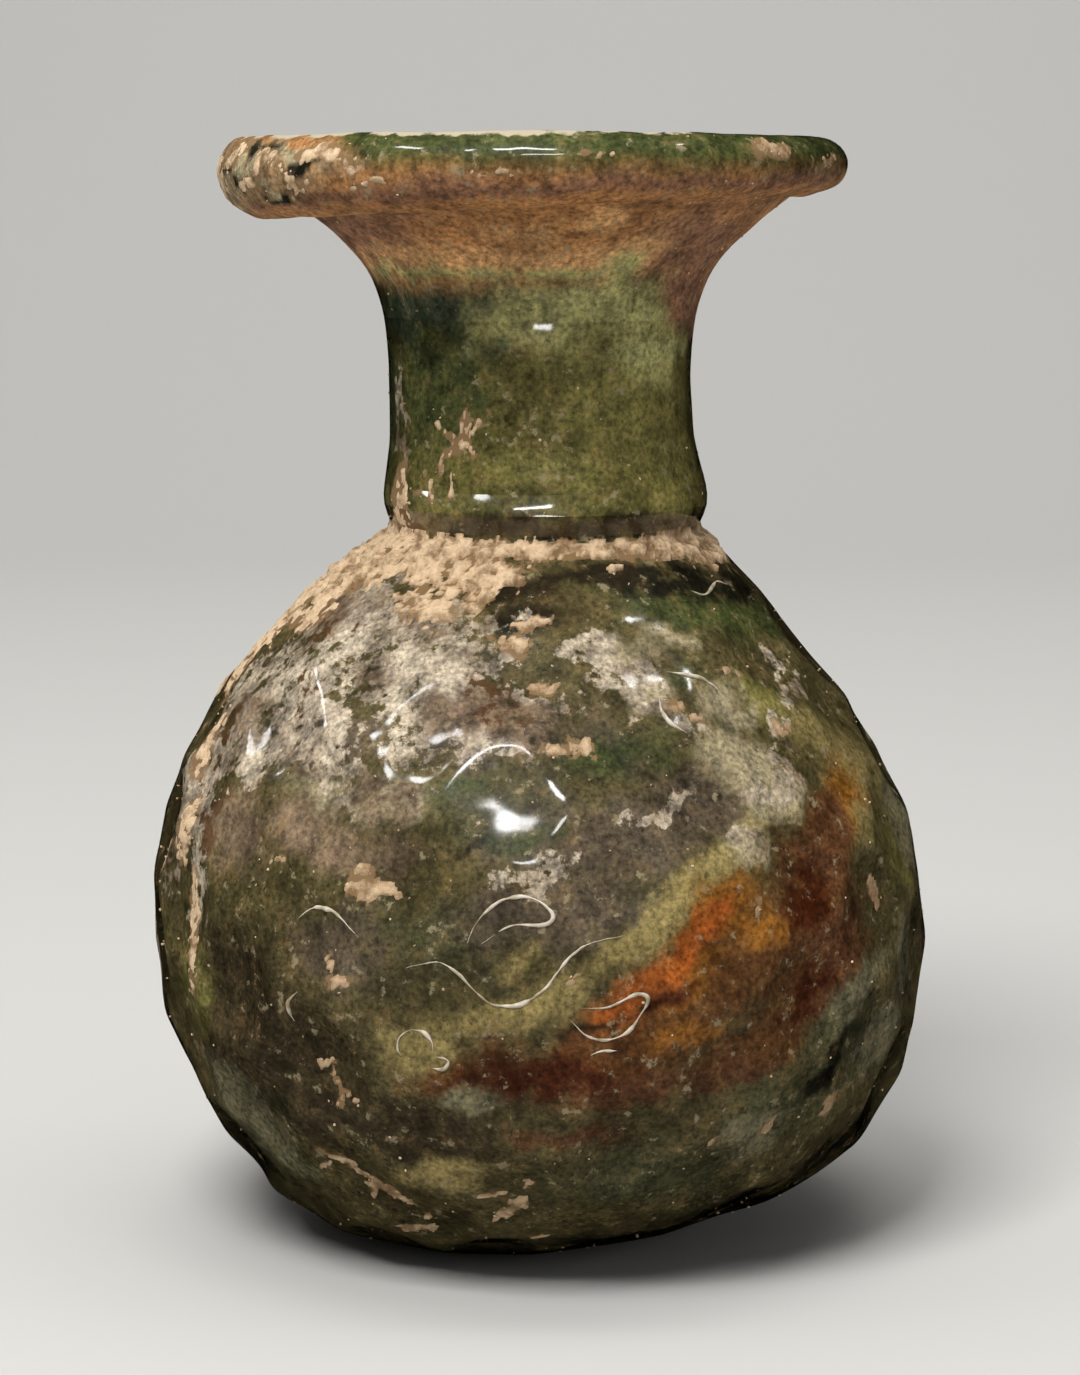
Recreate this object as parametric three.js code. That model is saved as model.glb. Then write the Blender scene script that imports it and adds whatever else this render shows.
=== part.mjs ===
// A Roman mould-blown glass bottle, built as one hollow piece of glass: a squat round body with
// a honeycomb of shallow cells, a short wide neck drawn in above the shoulder, and a flaring
// mouth whose rim was folded over into a thick, uneven roll.
// Millimetres, +Z up. The origin is on the floor, under the middle of the bottle's outer box.
import * as THREE from "three";

// Heights above the floor and radii of the plain turned form.
const RIM_TOP = 86.6;
const RIM_RADIUS = 24.6;
const ROLL_HEIGHT = 5.6; // the folded roll, measured at the front
const CREASE_RADIUS = 18.0; // where the roll's lower lip meets the funnel
const WAIST = { radius: 11.95, z: 67.1 };
const BULGE = { radius: 12.85, z: 58.2 }; // swelling above the tooled groove
const NECK_FOOT = { radius: 12.3, z: 55.6 };
const BELLY = { radius: 31.1, z: 24.6 };
const FOOT_RADIUS = 10.8; // the flat the bottle stands on

// Glass thickness, and the bore.
const WALL = 2.3;
const BASE_THICKNESS = 3.0;
const BORE_RADIUS = 9.5;
const THROAT_RADIUS = 8.4; // where the groove squeezes the bore

// The mould's honeycomb: staggered rows of round hollows.
const ROWS = 14;
const FIRST_ROW = 1;
const LAST_ROW = 11;
const CELLS_PER_ROW = 12;
const CELL_TURN = THREE.MathUtils.degToRad(-4); // a cell's angle from the front
const CELL_RADIUS = 5.4;
const CELL_DEPTH = 0.95;
const CELL_WANDER = 0.35; // how far a cell strays from the regular pattern

// What handwork left uneven.
const ROLL_UNEVEN = 1.0; // the roll is this much thicker at the left and thinner at the right
const RIM_SAG = 0.45; // the rim's two sides sit this much lower than its front and back
const AXIS_DRIFT = [
  // height, sideways drift of the turning axis
  [0, -2.9],
  [7, 0.4],
  [25, 0],
  [46.5, -0.9],
  [57, 0.45],
  [68, 0],
  [78, 0],
  [85, -0.55],
];

// Fineness of the faceted form: eight segments to a cell's pitch.
const SEGMENTS = 8 * CELLS_PER_ROW;

const point = (radius, z) => new THREE.Vector2(radius, z);

// The body's outer line, from the edge of the foot up to the groove under the neck.
function bodyLine() {
  const line = new THREE.CurvePath();
  line.add(
    new THREE.CubicBezierCurve(
      point(FOOT_RADIUS, 0),
      point(FOOT_RADIUS + 11.5, 1.4),
      point(BELLY.radius, BELLY.z - 15.6),
      point(BELLY.radius, BELLY.z),
    ),
  );
  line.add(
    new THREE.CubicBezierCurve(
      point(BELLY.radius, BELLY.z),
      point(BELLY.radius, BELLY.z + 12),
      point(NECK_FOOT.radius + 12.4, NECK_FOOT.z - 10),
      point(NECK_FOOT.radius, NECK_FOOT.z),
    ),
  );
  return line;
}

// The neck's outer line: groove, bulge, waist, and the flare up to the roll's crease.
function neckLine() {
  const line = new THREE.CurvePath();
  line.add(
    new THREE.SplineCurve([
      point(NECK_FOOT.radius, NECK_FOOT.z + 0.5),
      point(BULGE.radius, BULGE.z),
      point(WAIST.radius + 0.15, WAIST.z - 4.5),
      point(WAIST.radius, WAIST.z),
    ]),
  );
  line.add(
    new THREE.CubicBezierCurve(
      point(WAIST.radius, WAIST.z),
      point(WAIST.radius, WAIST.z + 7.5),
      point(WAIST.radius + 1.3, WAIST.z + 9.5),
      point(CREASE_RADIUS, RIM_TOP - ROLL_HEIGHT - 0.6),
    ),
  );
  return line;
}

// The folded roll: out from the crease, round the rim, and in to the lip of the mouth.
function rollPoints() {
  const bottom = RIM_TOP - ROLL_HEIGHT;
  const middle = RIM_TOP - 0.45 * ROLL_HEIGHT;
  return [
    point(RIM_RADIUS - 3.4, bottom),
    point(RIM_RADIUS - 0.8, bottom + 1.1),
    point(RIM_RADIUS, middle),
    point(RIM_RADIUS - 0.5, RIM_TOP - 0.9),
    point(RIM_RADIUS - 1.8, RIM_TOP),
    point(RIM_RADIUS - 4.2, RIM_TOP - 0.9),
  ];
}

// The inside, from the lip down the funnel and the bore, and round the body to its floor.
function insidePoints(body) {
  const funnel = new THREE.CubicBezierCurve(
    point(RIM_RADIUS - 5.4, RIM_TOP - 2.6),
    point(13.5, RIM_TOP - 5.4),
    point(BORE_RADIUS, RIM_TOP - 8.5),
    point(BORE_RADIUS, WAIST.z + 3),
  );
  const points = funnel.getPoints(3);
  points.push(point(BORE_RADIUS, BULGE.z + 1.4));
  points.push(point(THROAT_RADIUS, NECK_FOOT.z - 0.4));
  for (const share of [0.9, 0.74, 0.57, 0.4, 0.22, 0.07]) {
    const on = body.getPointAt(share);
    const along = body.getTangentAt(share);
    points.push(point(on.x - WALL * along.y, Math.max(BASE_THICKNESS, on.y + WALL * along.x)));
  }
  points.push(point(0, BASE_THICKNESS));
  return points;
}

// Every hollow of the honeycomb, as a point on the plain body with a reach and a depth. The
// hollows shrink with the body's girth towards the shoulder and the foot.
function honeycomb(body) {
  const cells = [];
  for (let row = FIRST_ROW; row <= LAST_ROW; row++) {
    for (let column = 0; column < CELLS_PER_ROW; column++) {
      const number = row * CELLS_PER_ROW + column;
      const stray = CELL_WANDER * Math.sin(number * 2.7);
      const on = body.getPointAt((row + 0.5 + stray / 8) / ROWS);
      const turn = CELL_TURN + ((column + ((row + 1) % 2) / 2) * 2 * Math.PI) / CELLS_PER_ROW;
      const angle = turn + (CELL_WANDER * Math.sin(number * 4.1)) / BELLY.radius;
      const girth = on.x / BELLY.radius;
      cells.push({
        centre: new THREE.Vector3(on.x * Math.sin(angle), -on.x * Math.cos(angle), on.y),
        reach: CELL_RADIUS * (0.45 + 0.55 * girth) * (1 + 0.08 * Math.sin(number * 1.9)),
        depth: CELL_DEPTH * girth * (1 + 0.25 * Math.sin(number * 3.3)),
      });
    }
  }
  return cells;
}

// How deep the honeycomb lies at a place on the plain body.
function hollowAt(place, cells) {
  let depth = 0;
  for (const cell of cells) {
    const share = place.distanceTo(cell.centre) / cell.reach;
    if (share < 1) depth = Math.max(depth, cell.depth * (1 - share * share));
  }
  return depth;
}

// Straight-line look-up in a table of [height, value], held at both ends and eased in between.
function eased(table, z) {
  if (z <= table[0][0]) return table[0][1];
  for (let i = 1; i < table.length; i++) {
    const [low, from] = table[i - 1];
    const [high, to] = table[i];
    if (z < high) return from + (to - from) * THREE.MathUtils.smoothstep(z, low, high);
  }
  return table[table.length - 1][1];
}

// How far a place on the roll shares in its unevenness: wholly along the roll's underside, less
// and less up to the rim's top, and not at all at the crease.
function rollShare(radius, z) {
  const outward = THREE.MathUtils.smoothstep(radius, CREASE_RADIUS, RIM_RADIUS - 2.6);
  return (outward * Math.min(RIM_TOP - z, ROLL_HEIGHT)) / ROLL_HEIGHT;
}

// The body's rings: two to a row of the honeycomb, and one to a row where the body is plain.
function ringPoints(body) {
  const points = [];
  let row = 0;
  while (row <= ROWS) {
    points.push(body.getPointAt(row / ROWS));
    row += row >= FIRST_ROW && row <= LAST_ROW ? 0.5 : 1;
  }
  return points;
}

function bottleGeometry() {
  const body = bodyLine();
  const cells = honeycomb(body);
  const bodyPoints = ringPoints(body);
  const neck = neckLine();
  const neckPoints = neck.curves[0].getPoints(4).concat(neck.curves[1].getPoints(4).slice(1));
  const outside = [point(0, 0), ...bodyPoints, ...neckPoints, ...rollPoints()];
  const inside = insidePoints(body);
  const profile = [...outside, ...inside];

  const geometry = new THREE.LatheGeometry(profile, SEGMENTS, CELL_TURN);
  const position = geometry.attributes.position;
  const heart = new THREE.Vector3(0, 0, BELLY.z);
  for (let i = 0; i < position.count; i++) {
    const step = i % profile.length;
    // A lathe turns about Y with its start towards +Z; here the front looks along -Y.
    const place = new THREE.Vector3(position.getX(i), -position.getZ(i), position.getY(i));
    const radius = Math.max(Math.hypot(place.x, place.y), 1e-6);
    const side = place.x / radius;
    if (step > 0 && step <= bodyPoints.length) {
      const inward = heart.clone().sub(place).normalize();
      place.addScaledVector(inward, hollowAt(place, cells));
    }
    const z = place.z;
    if (step > bodyPoints.length && step < outside.length) {
      place.z += ROLL_UNEVEN * side * rollShare(radius, z);
    }
    const rimward = THREE.MathUtils.smoothstep(z, WAIST.z, RIM_TOP);
    place.z -= RIM_SAG * (place.x / RIM_RADIUS) ** 2 * rimward;
    place.x += eased(AXIS_DRIFT, z);
    position.setXYZ(i, place.x, place.y, Math.max(0, place.z));
  }
  geometry.computeBoundingBox();
  const middle = geometry.boundingBox.getCenter(new THREE.Vector3());
  return geometry.translate(-middle.x, -middle.y, 0);
}

const glass = new THREE.MeshStandardMaterial({
  name: "weathered_glass",
  color: 0x5a5a34,
  roughness: 0.18,
  metalness: 0,
});

const bottle = new THREE.Mesh(bottleGeometry(), glass);
bottle.name = "glass_bottle";

const part = new THREE.Group();
part.add(bottle);

export default part;
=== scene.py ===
"""The visible Roman glass bottle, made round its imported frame.

The glass is one fine turned form. Geometry Nodes press the mould's honeycomb into it, handwork
leaves it uneven, and its wear is kept as measures on the mesh: where dry soil clings, where the
skin has gone pale and flaky, where the glass is stained amber, and so on. Burial soil also sits
on it as a raised crust and as loose grains.
"""

import math

import bpy
import numpy as np
from bpy.props import FloatProperty, FloatVectorProperty, IntProperty, PointerProperty
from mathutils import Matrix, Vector, noise
from mathutils.bvhtree import BVHTree


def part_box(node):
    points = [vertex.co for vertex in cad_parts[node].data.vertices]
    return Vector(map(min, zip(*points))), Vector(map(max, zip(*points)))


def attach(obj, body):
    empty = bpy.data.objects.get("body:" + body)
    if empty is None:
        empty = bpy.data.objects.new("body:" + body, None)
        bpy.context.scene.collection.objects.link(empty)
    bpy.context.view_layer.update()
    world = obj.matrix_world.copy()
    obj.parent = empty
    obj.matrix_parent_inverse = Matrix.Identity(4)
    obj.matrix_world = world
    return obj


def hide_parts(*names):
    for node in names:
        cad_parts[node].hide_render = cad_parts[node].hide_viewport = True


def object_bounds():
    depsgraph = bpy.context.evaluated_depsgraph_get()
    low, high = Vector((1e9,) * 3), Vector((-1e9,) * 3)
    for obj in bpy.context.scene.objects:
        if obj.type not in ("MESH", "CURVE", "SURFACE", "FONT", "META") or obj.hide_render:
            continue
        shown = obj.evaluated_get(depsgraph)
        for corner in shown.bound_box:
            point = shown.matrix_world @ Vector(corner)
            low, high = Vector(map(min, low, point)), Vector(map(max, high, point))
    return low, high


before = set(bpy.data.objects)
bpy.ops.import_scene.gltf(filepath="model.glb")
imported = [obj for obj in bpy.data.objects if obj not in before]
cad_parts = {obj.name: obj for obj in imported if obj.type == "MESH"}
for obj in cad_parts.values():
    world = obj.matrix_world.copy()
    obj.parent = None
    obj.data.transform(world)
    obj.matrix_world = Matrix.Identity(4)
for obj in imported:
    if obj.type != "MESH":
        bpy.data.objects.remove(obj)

bl_info = {
    "name": "Roman Honeycomb Bottle",
    "version": (1, 0, 0),
    "blender": (4, 5, 0),
    "location": "3D View > Sidebar > Bottle",
    "description": "Builds a weathered, mould-blown glass bottle with its burial soil",
    "category": "Add Mesh",
}

MM = 0.001
NODE = "glass_bottle"
CAD_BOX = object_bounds()
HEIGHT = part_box(NODE)[1].z


def hex_colour(text):
    """A colour written as sRGB hex, as linear red, green and blue."""
    shares = [int(text[i : i + 2], 16) / 255 for i in (1, 3, 5)]
    return [s / 12.92 if s <= 0.04045 else ((s + 0.055) / 1.055) ** 2.4 for s in shares]


def length(name, description, millimetres):
    return FloatProperty(
        name=name, description=description, default=millimetres * MM, unit="LENGTH", precision=4
    )


def colour(name, description, text):
    return FloatVectorProperty(
        name=name, description=description, default=hex_colour(text), subtype="COLOR", size=3, min=0, max=1
    )


class BottleForm(bpy.types.PropertyGroup):
    """The plain turned form, before the honeycomb and the handwork."""

    rim_radius: length("Rim radius", "Outside radius of the folded rim", 24.6)
    roll_height: length("Roll height", "Height of the folded roll at the front", 5.6)
    crease_radius: length("Crease radius", "Where the roll's lower lip meets the funnel", 18.0)
    waist_radius: length("Waist radius", "Neck radius at its narrowest", 11.95)
    waist_drop: length("Waist drop", "From the rim's top down to the waist", 19.5)
    bulge_radius: length("Bulge radius", "Neck radius at the swelling above the groove", 12.85)
    bulge_drop: length("Bulge drop", "From the rim's top down to the bulge", 28.4)
    groove_radius: length("Groove radius", "Radius of the tooled groove under the neck", 12.3)
    groove_drop: length("Groove drop", "From the rim's top down to the groove", 31.0)
    belly_radius: length("Belly radius", "Greatest radius of the body", 31.1)
    belly_height: length("Belly height", "Height of the greatest radius", 24.6)
    foot_radius: length("Foot radius", "Radius of the flat the bottle stands on", 10.8)
    wall: length("Wall", "Thickness of the blown wall", 2.3)
    base_thickness: length("Base thickness", "Thickness of the glass under the hollow", 3.0)
    bore_radius: length("Bore radius", "Inside radius of the neck", 9.5)
    throat_radius: length("Throat radius", "Inside radius where the groove squeezes it", 8.4)
    roll_uneven: length("Uneven roll", "How much thicker the roll is at the left", 1.0)
    rim_sag: length("Rim sag", "How much lower the rim's two sides sit", 0.45)


class BottleHoneycomb(bpy.types.PropertyGroup):
    """The mould's staggered rows of round hollows."""

    rows: IntProperty(name="Rows", description="Rows that the body's line divides into", default=14, min=4)
    first_row: IntProperty(name="First row", description="Lowest row that has hollows", default=1, min=0)
    last_row: IntProperty(name="Last row", description="Highest row that has hollows", default=11, min=1)
    per_row: IntProperty(name="Hollows per row", description="Hollows round the body", default=12, min=3)
    turn: FloatProperty(
        name="Turn", description="A hollow's angle from the front", default=math.radians(-4), subtype="ANGLE"
    )
    radius: length("Hollow radius", "Radius of a hollow at the belly", 5.4)
    depth: length("Hollow depth", "Depth of a hollow at the belly", 0.95)
    wander: length("Wander", "How far a hollow strays from the regular pattern", 0.35)
    ridge: length("Ridge", "How much the ridges between hollows are rounded", 0.9)


class BottleColours(bpy.types.PropertyGroup):
    """What the glass, its stains and the soil look like."""

    olive: colour("Olive", "The weathered body glass", "#4d452a")
    # Umber is brown-olive glass low on the body, darkened there partly as painted shade.
    umber_and_low_shade: colour("Umber", "Brown-olive glass low on the body, partly painted shade", "#3a3120")
    moss: colour("Moss", "Green-grey glass low on the right", "#45432b")
    # Murk is nearly black glass, also laid on as painted shade under the body and in the groove under the
    # neck.
    murk_and_shade: colour("Murk", "Nearly black glass, and painted shade under the body and in the neck's groove", "#1d1b11")
    haze: colour("Haze", "Grey-mauve bloom in the glass", "#54493a")
    straw: colour("Straw", "Yellow-olive edge of the amber band", "#7a6c42")
    russet: colour("Russet", "Brown glass of the stained band", "#5a3a1e")
    amber: colour("Amber", "Orange heart of the stained band", "#98501c")
    honey: colour("Honey", "Golden part of the stained band", "#80521c")
    ember: colour("Ember", "Dark red stain", "#45210e")
    rust: colour("Rust", "Brown-mauve stain", "#573822")
    sage: colour("Sage", "Pale grey-green glass on the right", "#68634a")
    bottle_green: colour("Bottle green", "Clear glass of the neck and the rim", "#3f4424")
    pistachio: colour("Pistachio", "Pale yellow-green glass at the top of the neck", "#98945e")
    teal: colour("Teal", "Blue-green glass under the funnel", "#3e4a36")
    reed: colour("Reed", "Yellow-green glass of the neck", "#6a6436")
    milk: colour("Milk", "Pale, milky weathered glass", "#94886a")
    dust: colour("Dusty skin", "Brown-tan weathering skin", "#786550")
    film: colour("Flaked skin", "Pale lilac-grey weathering skin", "#c0b19a")
    soil: colour("Dry soil", "Tan burial earth", "#d6ba97")
    sand: colour("Sandy soil", "Orange-brown sand under the mouth", "#95683f")
    ochre: colour("Ochre", "Golden earth film low on the funnel", "#b4885a")
    loam: colour("Loam", "Darker, thinner burial earth", "#84694a")
    # Clay is brown earth film, and also painted shade in the roll's crease.
    clay_and_crease_shade: colour("Clay", "Brown earth film under the rim, and painted shade in the roll's crease", "#7d5840")
    # The crest is the flake edges' pale colour, a painted highlight.
    crest_highlight: colour("Crest", "Pale flake edges as painted highlights", "#d6cab8")
    # The rim's chalky crust is partly a painted highlight along its top edge.
    chalk_and_highlight: colour("Chalk", "Chalky crust along the rim, partly a painted highlight", "#aea28a")


# ---------------------------------------------------------------- lines and surfaces


def bezier(start, first, second, end, count=200):
    """Points on a cubic curve."""
    t = np.linspace(0, 1, count)[:, None]
    start, first, second, end = (np.array(p, float) for p in (start, first, second, end))
    return (
        (1 - t) ** 3 * start + 3 * (1 - t) ** 2 * t * first + 3 * (1 - t) * t**2 * second + t**3 * end
    )


def spline(points, count=24):
    """A smooth curve through every point, with count steps between two of them."""
    points = np.array(points, float)
    ends = np.vstack([points[:1], points, points[-1:]])
    t = np.linspace(0, 1, count, endpoint=False)[:, None]
    stretches = []
    for before, start, end, after in zip(ends, ends[1:], ends[2:], ends[3:]):
        leave = (end - before) / 2
        arrive = (after - start) / 2
        stretches.append(
            (2 * t**3 - 3 * t**2 + 1) * start
            + (t**3 - 2 * t**2 + t) * leave
            + (3 * t**2 - 2 * t**3) * end
            + (t**3 - t**2) * arrive
        )
    return np.vstack(stretches + [points[-1:]])


def lengths_along(points):
    """Distance from the line's start to each of its points."""
    return np.r_[0, np.cumsum(np.hypot(*np.diff(points, axis=0).T))]


def evenly(points, count):
    """The line again, as count + 1 points spaced evenly along it."""
    walked = lengths_along(points)
    wanted = np.linspace(0, walked[-1], count + 1)
    return np.column_stack([np.interp(wanted, walked, points[:, k]) for k in (0, 1)])


def smoothstep(low, high, value):
    share = np.clip((value - low) / (high - low), 0, 1)
    return share * share * (3 - 2 * share)


def sector(angle, middle, reach, soft):
    """1 within a reach of the middle angle, and 0 by the soft width beyond it, round the back too."""
    off = np.abs((angle - middle + 180) % 360 - 180)
    return smoothstep(reach + soft, reach, off)


def body_line(form):
    """(radius, height) from the edge of the foot, over the belly, up to the groove."""
    foot, belly, groove = form.foot_radius, form.belly_radius, form.groove_radius
    middle, top = form.belly_height, HEIGHT - form.groove_drop
    lower = bezier(
        (foot, 0), (foot + 11.5 * MM, 1.4 * MM), (belly, middle - 15.6 * MM), (belly, middle)
    )
    upper = bezier(
        (belly, middle), (belly, middle + 12 * MM), (groove + 12.4 * MM, top - 10 * MM), (groove, top)
    )
    return np.vstack([lower, upper[1:]])


def neck_line(form):
    """(radius, height) from the groove, over the bulge and the waist, out to the roll's crease."""
    waist = (form.waist_radius, HEIGHT - form.waist_drop)
    crease = (form.crease_radius, HEIGHT - form.roll_height - 0.6 * MM)
    shaft = spline(
        [
            (form.groove_radius, HEIGHT - form.groove_drop + 0.5 * MM),
            (form.bulge_radius, HEIGHT - form.bulge_drop),
            (waist[0] + 0.15 * MM, waist[1] - 4.5 * MM),
            waist,
        ]
    )
    funnel = bezier(
        waist, (waist[0], waist[1] + 7.5 * MM), (waist[0] + 1.3 * MM, waist[1] + 9.5 * MM), crease
    )
    return np.vstack([shaft, funnel[1:]])


def roll_line(form):
    """(radius, height) of the folded roll: a tucked crease, the round of the rim, and the lip."""
    rim, bottom = form.rim_radius, HEIGHT - form.roll_height
    offsets = [
        (-4.6, bottom + 0.45 * MM),
        (-4.1, bottom + 0.05 * MM),
        (-3.0, bottom + 0.05 * MM),
        (-0.9, bottom + 1.15 * MM),
        (-0.05, HEIGHT - 0.45 * form.roll_height),
        (-0.55, HEIGHT - 0.9 * MM),
        (-1.8, HEIGHT - 0.03 * MM),
        (-3.2, HEIGHT - 0.3 * MM),
        (-4.2, HEIGHT - 0.95 * MM),
    ]
    return spline([(rim + across * MM, height) for across, height in offsets])


def inside_line(form, body):
    """(radius, height) from the lip down the funnel and the bore, round the body to its floor."""
    bore, throat = form.bore_radius, form.throat_radius
    waist_height = HEIGHT - form.waist_drop
    funnel = bezier(
        (form.rim_radius - 5.4 * MM, HEIGHT - 2.6 * MM),
        (13.5 * MM, HEIGHT - 5.4 * MM),
        (bore, HEIGHT - 8.5 * MM),
        (bore, waist_height + 3 * MM),
    )
    walked = lengths_along(body)
    shares = np.linspace(0.93, 0.07, 60) * walked[-1]
    on = np.column_stack([np.interp(shares, walked, body[:, k]) for k in (0, 1)])
    along = np.gradient(on, axis=0)
    along /= -np.hypot(*along.T)[:, None]
    shell = on + form.wall * np.column_stack([-along[:, 1], along[:, 0]])
    shell[:, 1] = np.maximum(shell[:, 1], form.base_thickness)
    throat_line = spline(
        [
            (bore, waist_height + 3 * MM),
            (bore, HEIGHT - form.bulge_drop + 1.4 * MM),
            (throat, HEIGHT - form.groove_drop - 0.4 * MM),
            tuple(shell[0]),
        ]
    )
    return np.vstack([funnel, throat_line[1:], shell[1:], [(0, form.base_thickness)]])


SEGMENTS = 420  # steps round the outside: 35 to a hollow's pitch, under half a millimetre each
BODY_RINGS = 128
NECK_RINGS = 34
ROLL_RINGS = 24
FOOT_RINGS = 5
FUNNEL_RINGS = 12
INSIDE_RINGS = 58


def turned_mesh(name, form):
    """The plain turned bottle as one closed mesh, and each vertex's angle, climb and region.

    The climb is the distance up the outside's line from the middle of the foot. Regions are 0 for
    the body's outside, 1 for the neck and the roll, and 2 for the inside.
    """
    body = body_line(form)
    foot = evenly(np.array([(0, 0), (form.foot_radius, 0)]), FOOT_RINGS)[1:-1]
    neck_and_roll = [evenly(neck_line(form), NECK_RINGS), evenly(roll_line(form), ROLL_RINGS)]
    inside = evenly(inside_line(form, body), FUNNEL_RINGS + INSIDE_RINGS)
    fine = np.vstack([foot, evenly(body, BODY_RINGS), *neck_and_roll, inside[:FUNNEL_RINGS]])
    coarse = inside[FUNNEL_RINGS:-1]
    region = np.full(len(fine), 1)
    region[: len(foot) + BODY_RINGS + 1] = 0
    region[-FUNNEL_RINGS:] = 2
    climb = lengths_along(np.vstack([[(0, 0)], fine]))[1:]

    verts, angles, climbs, regions, faces = [(0, 0, 0)], [0.0], [0.0], [0], []
    rings = []
    for number, (radius, height) in enumerate(np.vstack([fine, coarse])):
        is_fine = number < len(fine)
        count = SEGMENTS if is_fine else SEGMENTS // 2
        angle = np.arange(count) * 2 * math.pi / count
        rings.append((len(verts), count))
        verts += list(zip(radius * np.sin(angle), -radius * np.cos(angle), [height] * count))
        angles += list(angle)
        climbs += [climb[number] if is_fine else climb[-1]] * count
        regions += [region[number] if is_fine else 2] * count
    first, count = rings[0]
    faces += [(0, first + (k + 1) % count, first + k) for k in range(count)]
    for (low, many), (high, fewer) in zip(rings, rings[1:]):
        if many == fewer:
            faces += [
                (low + k, low + (k + 1) % many, high + (k + 1) % many, high + k) for k in range(many)
            ]
        else:
            for k in range(fewer):
                after = (k + 1) % fewer
                faces.append((low + 2 * k, low + 2 * k + 1, high + k))
                faces.append((low + 2 * k + 1, low + (2 * k + 2) % many, high + after, high + k))
    last, count = rings[-1]
    verts.append((0, 0, form.base_thickness))
    angles.append(0.0)
    climbs.append(climb[-1])
    regions.append(2)
    faces += [(last + k, last + (k + 1) % count, len(verts) - 1) for k in range(count)]

    mesh = bpy.data.meshes.new(name)
    mesh.from_pydata(verts, [], faces)
    mesh.update()
    return mesh, np.array(angles), np.array(climbs), np.array(regions)


# ---------------------------------------------------------------- nodes


def pick(sockets, wanted):
    """The socket in use under a name or a place: a node keeps its unused ones beside it."""
    used = [s for s in sockets if s.enabled]
    if isinstance(wanted, int):
        return used[wanted]
    return next(s for s in used if s.name == wanted)


def add(tree, kind, inputs=(), **settings):
    """Adds a node with its settings and its inputs, which are values, sockets or whole nodes."""
    node = tree.nodes.new(kind)
    for name, value in settings.items():
        setattr(node, name, value)
    pairs = inputs.items() if isinstance(inputs, dict) else enumerate(inputs)
    for place, value in pairs:
        if isinstance(value, bpy.types.Node):
            value = pick(value.outputs, 0)
        if isinstance(value, bpy.types.NodeSocket):
            tree.links.new(value, pick(node.inputs, place))
        elif value is not None:
            pick(node.inputs, place).default_value = value
    return node


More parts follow.
